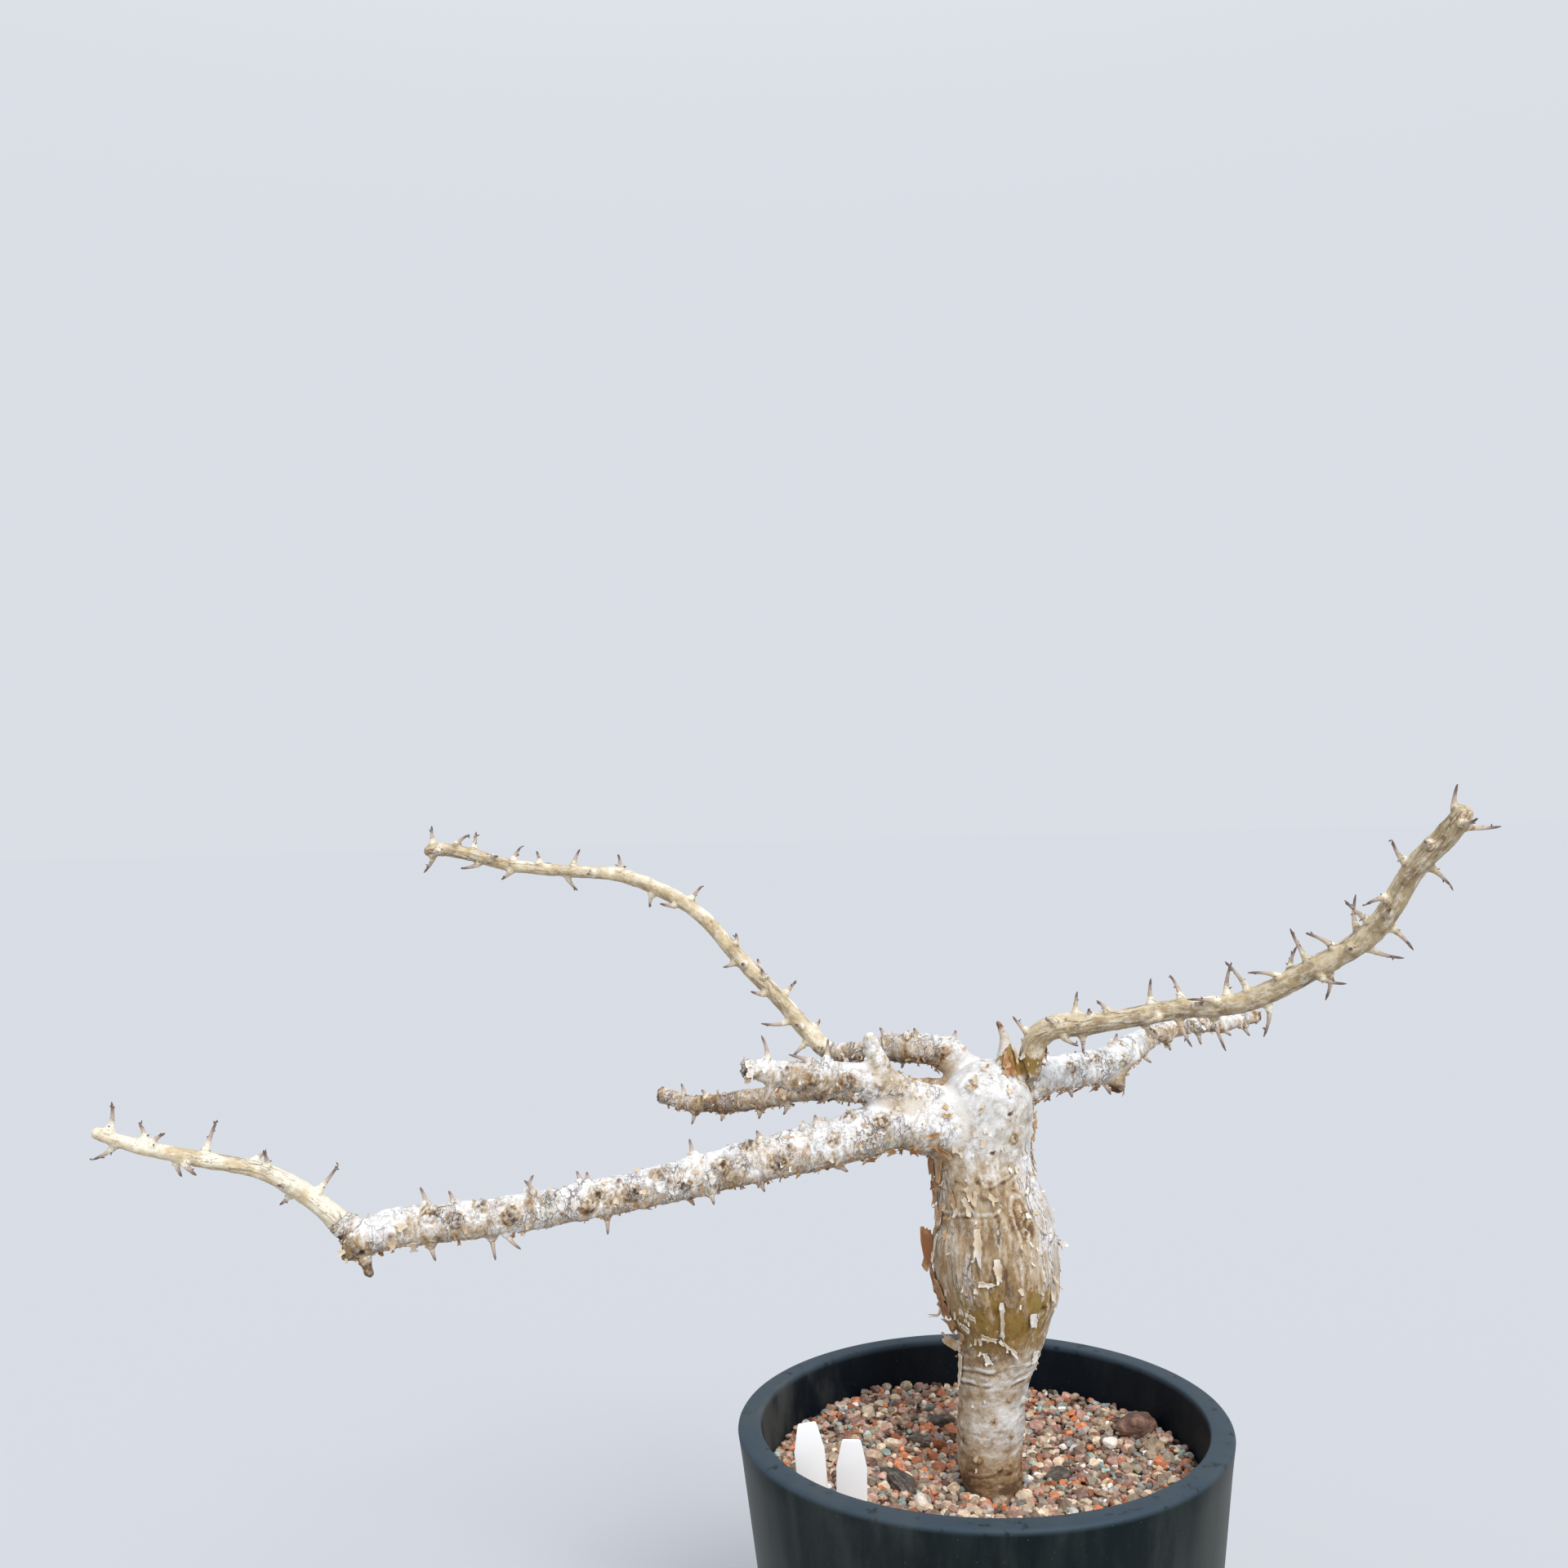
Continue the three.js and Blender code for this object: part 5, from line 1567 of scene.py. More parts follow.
    def _bleach_and_painted_light(self, reading: StemReading, height: Array, facing: Array, parts: Sequence[Array]) -> Array:
        """How white the bark is, 0 to 1: whitest on top of the crown, tan and brown underneath, partly its own
        bleaching and partly painted top and side light.

        Args:
            reading: Place of each vertex on the stems.
            height: Height in millimetres.
            facing: Vertex normals.
            parts: Masks of the crown, foot, bulge and limbs.

        Returns:
            One number per vertex.
        """
        crown, foot, bulge, limb = parts
        up = facing[:, 2]
        side = np.sin(reading.turn)
        base = np.zeros(len(self.limbs) + len(self.collars) + 1)
        base[1 : len(self.limbs) + 1] = [tone for _, _, tone in self.limbs]
        base[len(self.limbs) + 1 :] = 0.50
        # Up-facing limb bark is made whiter: partly sun bleaching, partly painted top light.
        whiteness = limb * (base[reading.stem.astype(int)] - 0.03 + 0.25 * up)
        for stem, start, end, change in self.tone_changes:
            mine = reading.stem == self.stems().index(stem)
            whiteness += change * smoothstep(start, end, reading.distance) * mine
        # The bulge is made whiter on its right than on its left: partly its own paler bark, partly painted side
        # light.
        turned = 0.37 * side.clip(0.0) + 0.12 * -side.clip(-1.0, 0.0)
        whiteness += bulge * (0.30 + turned + 0.05 * smoothstep(296.0, 352.0, height))
        ragged = 9.0 * Noise(6).fractal(reading.local / np.array([9.0, 9.0, 5.0]), 4, 0.6)
        low = 1.0 - smoothstep(203.0, 231.0, height + ragged)
        # The foot is a little whiter on its right: painted side light.
        whiteness += foot * (0.60 + 0.06 * side - 0.46 * low - 0.10 * smoothstep(266.0, 280.0, height))
        armpit = smoothstep(0.39, 0.93, -side) * (1.0 - smoothstep(388.0, 402.0, height))
        # Up-facing crown bark is a little whiter: partly bleaching, partly painted top light.
        whiteness += crown * (0.72 - 0.42 * armpit + 0.12 * up)
        return whiteness

    @staticmethod
    def _weave(reading: StemReading, height: Array, on_trunk: Array) -> Array:
        """Coordinates stretched as the bark's fibres run: upright on the bulge, crosswise elsewhere.

        Args:
            reading: Place of each vertex on the stems.
            height: Height in millimetres.
            on_trunk: 1 on the trunk, 0 on the limbs.

        Returns:
            Rows of three.
        """
        levels = [190.0, 262.0, 282.0, 372.0, 400.0, 440.0]
        along = np.interp(height, levels, [0.0, 72.0, 82.0, 104.0, 122.0, 152.0])
        across = np.interp(height, levels, [0.5, 0.55, 1.0, 1.0, 0.8, 0.8])
        trunk = reading.local * across[:, None]
        trunk[:, 2] = along
        limb = reading.local * np.array([0.6, 0.6, 1.1])
        return np.where(on_trunk[:, None] > 0.5, trunk, limb)

    @staticmethod
    def _blurred(piece: Object, values: Array, rounds: int = 5) -> Array:
        """Values averaged over neighbouring vertices so many times."""
        ends = edges(piece)
        first, second = ends.T
        size = len(values)
        count = np.bincount(ends.ravel(), minlength=size) + 1.0
        for _ in range(rounds):
            total = np.bincount(first, values[second], size) + np.bincount(second, values[first], size)
            values = (values + total) / count
        return values

    @staticmethod
    def _ring(places: Array, local: Array, level: float, noise: Noise) -> tuple[Array, Array]:
        """How far each point is above a slanting bark ring, and where that ring is whole."""
        across = places[:, 0] / MM
        slant = 0.16 * (across - 10.0) + 1.6 * noise.fractal(local / 16.0, 2)
        tilt = 0.35 * np.clip(across - 6.0, 0.0, None) * (level > 300.0)
        above = places[:, 2] / MM - level - slant - tilt
        return above, smoothstep(-0.35, 0.25, noise.fractal(local / 9.0 + level, 2))

    @staticmethod
    def _slit(places: Array, slit: SpinePlace, crumple: Array) -> tuple[Array, Array]:
        """Relief and darkness of a slit in the trunk's bark with a raised lip."""
        distance, turn, size, depth = slit
        centre, _, out, girth = TRUNK.outward(distance, turn)
        away = (places / MM - (centre + out * girth)) * np.array([1.0, 1.0, 1.5])
        away = np.linalg.norm(away, axis=1) / size * (1.0 + 0.5 * crumple)
        lift = 0.2 * bell(away - 1.2, 0.35) - depth * np.exp(-2.0 * away**2)
        return lift, 0.9 * np.exp(-((away / 0.75) ** 4))

    @staticmethod
    def _golden_patch(reading: StemReading, height: Array, noise: Noise) -> Array:
        """Bare golden wood low on the front of the bulge, with a torn edge."""
        across = (reading.turn - 0.02) / 0.95
        up = (height - 298.0) / np.where(height < 298.0, 13.0, 20.0)
        torn = 0.9 * noise.fractal(reading.local / np.array([5.0, 5.0, 11.0]) + 40.0, 4, 0.6)
        return 0.85 * smoothstep(0.0, 0.3, 0.85 - np.hypot(across, up) + torn)

    @staticmethod
    def _loop_scar(reading: StemReading) -> tuple[Array, Array]:
        """Raised loop of healed bark high on the right of the bulge, and the crumpled bark inside it."""
        across = (reading.turn - 0.42) * 31.0 / 5.6
        up = (reading.distance - 216.0) / 11.5
        ring = np.hypot(across, up)
        open_side = smoothstep(-0.6, 0.5, up - 0.9 * across)
        on_trunk = reading.stem == 0
        return bell(ring - 1.0, 0.17) * open_side * on_trunk, np.exp(-(ring**4)) * on_trunk

    def _broken_ends(self, reading: StemReading, crumple: Array) -> tuple[Array, Array]:
        """Dark hollows at the blunt ends of the old limbs, and the brown wood round them.

        Args:
            reading: Place of each vertex on the stems.
            crumple: Fine noise per vertex.

        Returns:
            The hollow's mask and its rim's.
        """
        hollow = np.zeros(len(crumple))
        edge = np.zeros(len(crumple))
        radial = np.hypot(reading.local[:, 0], reading.local[:, 1])
        for number, (stem, _, _) in enumerate(self.limbs, 1):
            if stem in (STUB_KNOB, CONE_STUB):
                continue
            past = reading.distance - stem.length
            mine = reading.stem == number
            inner = 1.0 - smoothstep(0.45, 0.75, radial / stem.girth[-1] + 0.25 * crumple)
            hollow = np.maximum(hollow, mine * inner * smoothstep(-1.0, 0.6, past))
            edge = np.maximum(edge, mine * smoothstep(-6.0, -1.0, past + 3.0 * crumple))
        return hollow, edge

    @staticmethod
    def _knot(
        places: Array,
        knot: tuple[Stem, float, float, float],
        crumple: Array,
        lift: Array,
        brown: Array,
        scar: Array,
    ) -> tuple[Array, Array, Array]:
        """A crumpled brown knot beside a pale almond-shaped leaf scar.

        Args:
            places: Vertex places in metres.
            knot: Its stem, distance up it, turn and size.
            crumple: Fine noise per vertex.
            lift: Relief so far.
            brown: Brown mask so far.
            scar: Dark mask so far.

        Returns:
            The relief and the two masks with it added.
        """
        stem, distance, turn, size = knot
        centre, along, out, girth = stem.outward(distance, turn)
        away = places / MM - (centre + out * girth)
        gap = np.linalg.norm(away, axis=1) / (size * 1.15) * (1.0 + 0.25 * crumple)
        dome = np.exp(-(gap**4))
        scale = min(size / 2.6, 1.2)
        lift = lift + scale * (dome * (1.9 + 2.4 * crumple) - 0.4 * bell(gap - 1.3, 0.2))
        brown = np.maximum(brown, dome * (0.30 + 0.65 * smoothstep(0.25, -0.15, crumple)))
        scar = np.maximum(scar, dome * smoothstep(0.15, 0.5, -crumple) * 0.7)
        if stem is TRUNK:
            return lift, brown, scar
        eye = away + along * size * 2.1
        drift = np.sum(eye * along, axis=1)
        wide = np.linalg.norm(eye - drift[:, None] * along, axis=1)
        ring = np.hypot(drift / (size * 1.3), wide / (size * 0.65)) * (1.0 + 0.4 * crumple)
        lift = lift + scale * (0.4 * bell(ring - 1.0, 0.22) - 0.3 * np.exp(-(ring**4)))
        scar = np.maximum(scar, 0.4 * bell(ring - 1.28, 0.14))
        return lift, brown, scar

    def stubs(self, finish: Material) -> None:
        """The stub spines themselves: slim cones that darken to their tips.

        Args:
            finish: Their material.
        """
        tubes = [
            stem.spine((place[0], place[1], place[2] * 1.08, place[3]), self.stub_root * 0.82, self.stub_tip)
            for stem, spines, _ in self.limbs
            for place in spines
        ]
        piece = swept("stub_spines", tubes)
        places = positions(piece)
        set_value(piece, "tip", 0.2 + 0.7 * smoothstep(0.35, 1.0, along_tubes(places, tubes)))
        set_value(piece, "bleach_and_painted_light", np.full(len(places), 0.95))
        set_value(piece, "weave", places / MM)
        hand_in(piece, finish)

    def build(self, finish: Material, spine_finish: Material) -> Bark:
        """Builds and hands in the skin and its spines.

        Args:
            finish: The bark's material.
            spine_finish: The spines' material.

        Returns:
            The surface of the old wood.
        """
        piece = self.form()
        bark = self.relieve(piece)
        left = split_off(piece, "old_wood_left", (-0.048, 0.0, 0.4), (-1.0, 0.0, 0.0))
        right = split_off(piece, "old_wood_right", (0.042, 0.023, 0.42), (0.864, 0.494, 0.12))
        for part in (piece, left, right):
            hand_in(part, finish, ["old_wood"], sharp=80.0)
        self.stubs(spine_finish)
        return bark


@dataclass
class YoungShoot:
    """A young shoot with its spines and their hooks."""

    name: str
    node: str
    stem: Stem
    start: float
    spines: list[SpinePlace]
    seed: int
    bleach_and_painted_light: float
    voxel: float = 0.58
    root: float = 1.75
    tip: float = 0.6

    def build(self, finish: Material) -> None:
        """Builds and hands in the shoot.

        Args:
            finish: Its material.
        """
        spines = [self.stem.spine(spine, self.root, self.tip) for spine in self.spines]
        draw = np.random.default_rng(self.seed)
        hooks = [hook for spine in self.spines for hook in self.stem.barbs(spine, self.root, self.tip, draw)]
        feet = [self.stem.spine(spine, self.root * 1.1, self.tip * 1.1, 0.3) for spine in self.spines]
        piece = grown_body(self.name, [self.stem.tube(start=self.start - 9.0), *feet], self.voxel, 2)
        places = positions(piece)
        facing = normals(piece)
        reading = read_stems(places, [self.stem])
        noise = Noise(self.seed)
        wrinkles = noise.fractal(reading.local / np.array([1.5, 1.5, 16.0]), 3)
        knots = noise.fractal(reading.local / np.array([9.0, 9.0, 5.0]), 3)
        calm = 1.0 - smoothstep(0.8, 3.0, np.clip(reading.over, 0.0, None))
        lift = (0.15 * wrinkles + 0.36 * knots) * calm + 0.07 * noise.fractal(reading.local / 1.4, 2)
        set_positions(piece, places + facing * (lift * MM)[:, None])
        foot = 1.0 - smoothstep(self.start, self.start + 70.0, reading.distance)
        # Up-facing bark is made whiter: partly bleaching, partly painted top light.
        bleach_and_painted_light = self.bleach_and_painted_light + 0.26 * facing[:, 2] + 0.22 * knots + 0.08 * wrinkles + 0.08 * foot
        bleach_and_painted_light += 0.35 * smoothstep(0.2, 1.4, reading.over)
        set_value(piece, "bleach_and_painted_light", np.clip(bleach_and_painted_light, 0.0, 1.0))
        set_value(piece, "tip", np.zeros(len(places)))
        set_value(piece, "weave", reading.local * np.array([1.0, 1.0, 0.14]))
        for kind, tubes, low, high in (("spines", spines, 0.28, 1.0), ("hooks", hooks, -0.5, 0.6)):
            part = swept(f"{self.name}_{kind}", tubes)
            at = positions(part)
            set_value(part, "bleach_and_painted_light", np.full(len(at), self.bleach_and_painted_light + 0.2))
            set_value(part, "tip", smoothstep(low, high, along_tubes(at, tubes)))
            set_value(part, "weave", at / MM)
            select_only(piece)
            part.select_set(True)
            bpy.ops.object.join()
        hand_in(piece, finish, [self.node])


@dataclass
class BarkFlakes:
    """Loose papery flakes over the old wood: thin curled strips, each rooted at one end."""

    count: int = 1250
    seed: int = 23
    kinds: tuple[tuple[float, float], ...] = ((0.9, 0.3), (0.6, 0.7), (0.45, 1.1), (0.75, 0.15), (0.35, 0.5))

    @staticmethod
    def strip(width: float, seed: int, rows: int, thickness: float, shape: Rule) -> Mesh:
        """One flake with a ragged outline.

        Args:
            width: Its width in millimetres.
            seed: Seed of its ragged edge.
            rows: How many faces long it is.
            thickness: Its thickness in millimetres.
            shape: Turns rows of (across, from -0.5 to 0.5) and (along, from 0 to 1) into places.

        Returns:
            Places in millimetres and triangles.
        """
        draw = np.random.default_rng(seed)
        columns = 3 if rows > 4 else 2
        add = bpy.ops.mesh.primitive_grid_add
        piece = started("flake", add, x_subdivisions=columns, y_subdivisions=rows, size=1.0)
        places = positions(piece)
        free = places[:, 1] + 0.5
        edge = np.abs(places[:, 0]) > 0.4
        ragged = draw.normal(size=(len(places), 2)) * 0.09
        across = places[:, 0] * (0.85 + 0.3 * np.sin(free * 2.4 + seed)) + ragged[:, 0] * edge
        along = free + ragged[:, 1] * (free > 0.9)
        set_positions(piece, shape(across * width, along))
        thick = piece.modifiers.new("thickness", "SOLIDIFY")
        thick.thickness = thickness
        thick.offset = 0.0
        apply_modifiers(piece)
        result = (positions(piece), triangles(piece))
        bpy.data.objects.remove(piece)
        return result

    @staticmethod
    def curled(width: float, curl: float) -> Rule:
        """Shape of a small flake, 1 long, rooted at the origin, that curls up along +Y.

        Args:
            width: Its width against its length.
            curl: How far it curls, 0 to 1 and over.

        Returns:
            The shape.
        """

        def shape(across: Array, along: Array) -> Array:
            """Bends a flat flake."""
            bend = curl * 1.7 * along
            cup = 0.5 * across**2 / width * (0.6 + curl)
            run, rise = np.sin(bend) / (curl * 1.7), (1.0 - np.cos(bend)) / (curl * 1.7)
            return np.stack([across, run, rise + cup], axis=1)

        return shape

    @staticmethod
    def hugging(place: StripPlace) -> Rule:
        """Shape of a large flake that lies on its stem and peels off it towards its free end.

        Args:
            place: Its stem, distance, turn, length, width, heading, peel and tone.

        Returns:
            The shape.
        """
        stem, distance, turn, length, width, heading, peel, _ = place
        aim = math.radians(heading)

        def shape(across: Array, along: Array) -> Array:
            """Lays a flat flake on the stem."""
            rows = []
            for side, run in zip(across, along * length):
                level = distance - run * math.cos(aim) + side * math.sin(aim)
                girth = stem.here(level)[4]
                around = turn + math.degrees((run * math.sin(aim) + side * math.cos(aim)) / max(girth, 3.0))
                centre, _, out, girth = stem.outward(level, around)
                cup = min(0.9, 2.5 / width)
                lift = 0.35 + peel * run * run / length + cup * side * side / width
                rows.append(centre + out * (girth + lift))
            return np.array(rows)

        return shape

    def build(self, bark: Bark, finish: Material) -> None:
        """Scatters the flakes over the old wood, then sets the large strips.

        Args:
            bark: The surface of the old wood.
            finish: Their material.
        """
        draw = np.random.default_rng(self.seed)
        reading, places, facing = bark.reading, bark.places, bark.facing
        height = places[:, 2] / MM
        on_trunk = reading.stem == 0
        left = smoothstep(0.7, 1.4, -reading.turn) * smoothstep(3.1, 2.2, -reading.turn)
        weight = np.where(on_trunk, 0.4 + 0.5 * left * (height < 400), 0.9 - 0.55 * facing[:, 2])
        golden = (np.abs(reading.turn - 0.12) < 0.7) & (height < 308)
        weight = np.where(on_trunk & ((height < 280) | golden), 0.12, weight)
        weight = np.where(on_trunk & (height > 385), 0.35, weight)
        on_cone = reading.stem == bark.stems.index(CONE_STUB)
        weight = np.where((height < 206) | (reading.over > 2.0) | on_cone, 0.0, np.clip(weight, 0.05, None))
        picks = draw.choice(len(places), self.count, replace=False, p=weight / weight.sum())
        shapes = [
            self.strip(wide, seed, 3, 0.1, self.curled(wide, curl))
            for seed, (wide, curl) in enumerate(self.kinds, 3)
        ]
        parts, faces, tones = [], [], []
        offset = 0

        def lay(shape: Array, corners: Array, root: Array, axes: Sequence[Array], tone: Array) -> None:
            """Adds one flake at its root, turned to its axes."""
            nonlocal offset
            parts.append(root + shape * MM @ np.stack(axes))
            faces.append(corners + offset)
            tones.append(tone)
            offset += len(shape)

        for pick in picks:
            stem = bark.stems[int(reading.stem[pick])]
            index = int(np.clip(reading.distance[pick], 0, stem.length) / stem.length * (len(stem.at) - 1))
            normal = facing[pick]
            trunk = on_trunk[pick]
            along = stem.along[index] * (-1.0 if trunk else draw.choice((-1.0, 1.0)))
            if not trunk and draw.random() < 0.7:
                along = np.cross(stem.along[index], normal) * draw.choice((-1.0, 1.0))
            along = along + 0.45 * draw.normal(size=3)
            along -= normal * (along @ normal)
            along /= np.linalg.norm(along)
            size = draw.uniform(1.6, 3.6) * (1.4 if trunk and draw.random() < 0.2 else 1.0)
            shape, corners = shapes[draw.integers(len(shapes))]
            tilt = draw.uniform(0.0, 0.18)
            axes = (np.cross(along, normal), along + normal * tilt, normal)
            # Flakes on downward-facing bark are toned darker as painted shade; those on the left side are
            # browner.
            tone = draw.random() * 0.5 + 0.4 * float(left[pick]) + 0.35 * (facing[pick, 2] < -0.4)
            lay(shape * size, corners, places[pick] - normal * 0.15 * MM, axes, np.full(len(shape), tone))
        strips = [(stem, *row) for stem, rows in STRIPS for row in rows]
        for number, place in enumerate(strips):
            shape, corners = self.strip(place[4], number, 9, 0.4, self.hugging(place))
            middle = np.linalg.norm(shape - shape.mean(axis=0), axis=1)
            tone = place[7] - 0.3 * smoothstep(0.2, 1.0, middle / middle.max())
            lay(shape, corners, np.zeros(3), np.eye(3), tone)
        piece = mesh_piece("bark_flakes", np.vstack(parts), np.vstack(faces))
        set_value(piece, "tone", np.concatenate(tones))
        hand_in(piece, finish)


# Pot and what fills it


@dataclass
class Pot:
    """Moulded pot: thick tapered wall, flat rim with soft edges, foot ring and drain holes."""

    height: float = 240.0
    rim_radius: float = 135.0
    taper: float = 0.1155
    wall: float = 12.8
    floor: float = 12.0
    sides: int = 168
    foot_pad: float = 56.0
    foot_inner: float = 92.0
    channel: float = 3.0
    drain_holes: int = 6
    drain_radius: float = 6.0
    drain_circle: float = 74.0
    rim_outside: float = 2.6
    rim_inside: float = 1.3

    def outer(self, height: float) -> float:
        """Outer radius at a height."""
        return self.rim_radius - self.taper * (self.height - height)

    def inner(self, height: float) -> float:
        """Inner radius at a height."""
        return self.outer(height) - self.wall

    def profile(self) -> list[tuple[float, float]]:
        """Section from the foot, up the outside, over the rim and down the inside, as radius and height."""
        rows = [(self.outer(0) - 2.0, 0.0), (self.outer(0) - 0.6, 0.5), (self.outer(2), 2.0)]
        levels = (20.0, 60.0, 110.0, 160.0, 200.0, 225.0)
        rows += [(self.outer(z), z) for z in levels]
        top, outer, inner = self.height, self.outer(self.height), self.inner(self.height)
        for turn in np.radians((0, 22, 45, 68, 90)):
            soft = self.rim_outside
            rows.append((outer - soft + soft * math.cos(turn), top - soft + soft * math.sin(turn)))
        rows.append((inner + 5.0, top))
        for turn in np.radians((0, 30, 60, 90)):
            soft = self.rim_inside
            rows.append((inner + soft - soft * math.sin(turn), top - soft + soft * math.cos(turn)))
        rows += [(self.inner(z), z) for z in reversed(levels)]
        rows += [(self.inner(self.floor) - 1.5, self.floor + 1.5), (self.inner(self.floor) - 5.0, self.floor)]
        return rows

    def build(self, finish: Material) -> None:
        """Builds and hands in the pot.

        Args:
            finish: Its material.
        """
        rows = self.profile()
        circle = bpy.ops.mesh.primitive_circle_add
        piece = started("pot_shell", circle, vertices=self.sides, radius=rows[0][0] * MM, fill_type="NGON")
        loft(piece, rows)
        self._cut_foot(piece)
        places = positions(piece) / MM
        # Marks the inner wall, which the finish darkens as painted shade.
        within = np.hypot(places[:, 0], places[:, 1]) < self.inner(places[:, 2]) + 2.0
        set_value(piece, "inner", (within & (places[:, 2] > self.floor - 1.0)) * 1.0)
        hand_in(piece, finish, ["pot"])

    def _cut_foot(self, piece: Object) -> None:
        """Cuts the ring channel under the pot and the drain holes in it."""
        ring = self._cutter(96, self.foot_inner, 2 * self.channel)
        self._cut(ring, self._cutter(96, self.foot_pad, 2 * self.channel), stretch=1.5)
        self._cut(piece, ring)
        for number in range(self.drain_holes):
            turn = (number + 0.5) * math.tau / self.drain_holes
            hole = self._cutter(28, self.drain_radius, 4 * self.floor)
            across, away = math.cos(turn) * self.drain_circle, math.sin(turn) * self.drain_circle
            hole.location = (across * MM, away * MM, self.floor / 2 * MM)
            self._cut(piece, hole)

    @staticmethod
    def _cutter(sides: int, radius: float, depth: float) -> Object:
        """An upright cylinder round the origin, in millimetres, to cut with."""
        add = bpy.ops.mesh.primitive_cylinder_add
        return started("cutter", add, vertices=sides, radius=radius * MM, depth=depth * MM)

    @staticmethod
    def _cut(piece: Object, tool: Object, stretch: float = 1.0) -> None:
        """Cuts one object with another, stretched upright, and removes the tool."""
        tool.scale = (1.0, 1.0, stretch)
        cut = piece.modifiers.new("cut", "BOOLEAN")
        cut.operation = "DIFFERENCE"
        cut.solver = "EXACT"
        cut.object = tool
        apply_modifiers(piece)
        bpy.data.objects.remove(tool)


class Grain(Enum):
    """Colour families of the gravel: name, share, main colour, second colour."""

    CREAM = ("cream", 0.21, (0.60, 0.47, 0.33), (0.78, 0.66, 0.50))
    TAN = ("tan", 0.24, (0.37, 0.26, 0.175), (0.54, 0.41, 0.30))
    ROSE = ("rose", 0.16, (0.42, 0.235, 0.18), (0.58, 0.38, 0.30))
    BRICK = ("brick", 0.15, (0.52, 0.17, 0.07), (0.68, 0.30, 0.16))
    GREY = ("grey", 0.08, (0.26, 0.25, 0.235), (0.44, 0.43, 0.40))
    GREEN = ("green", 0.055, (0.34, 0.45, 0.40), (0.50, 0.60, 0.54))
    DARK = ("dark", 0.09, (0.10, 0.05, 0.035), (0.20, 0.095, 0.065))
    WHITE = ("white", 0.05, (0.86, 0.83, 0.79), (0.76, 0.70, 0.62))

    def finish(self) -> RockFinish:
        """The stone finish of this family."""
        name, _, main, second = self.value
        return RockFinish(f"gravel_{name}", main, second, specks=0.35, scale=420.0, roughness=0.7)


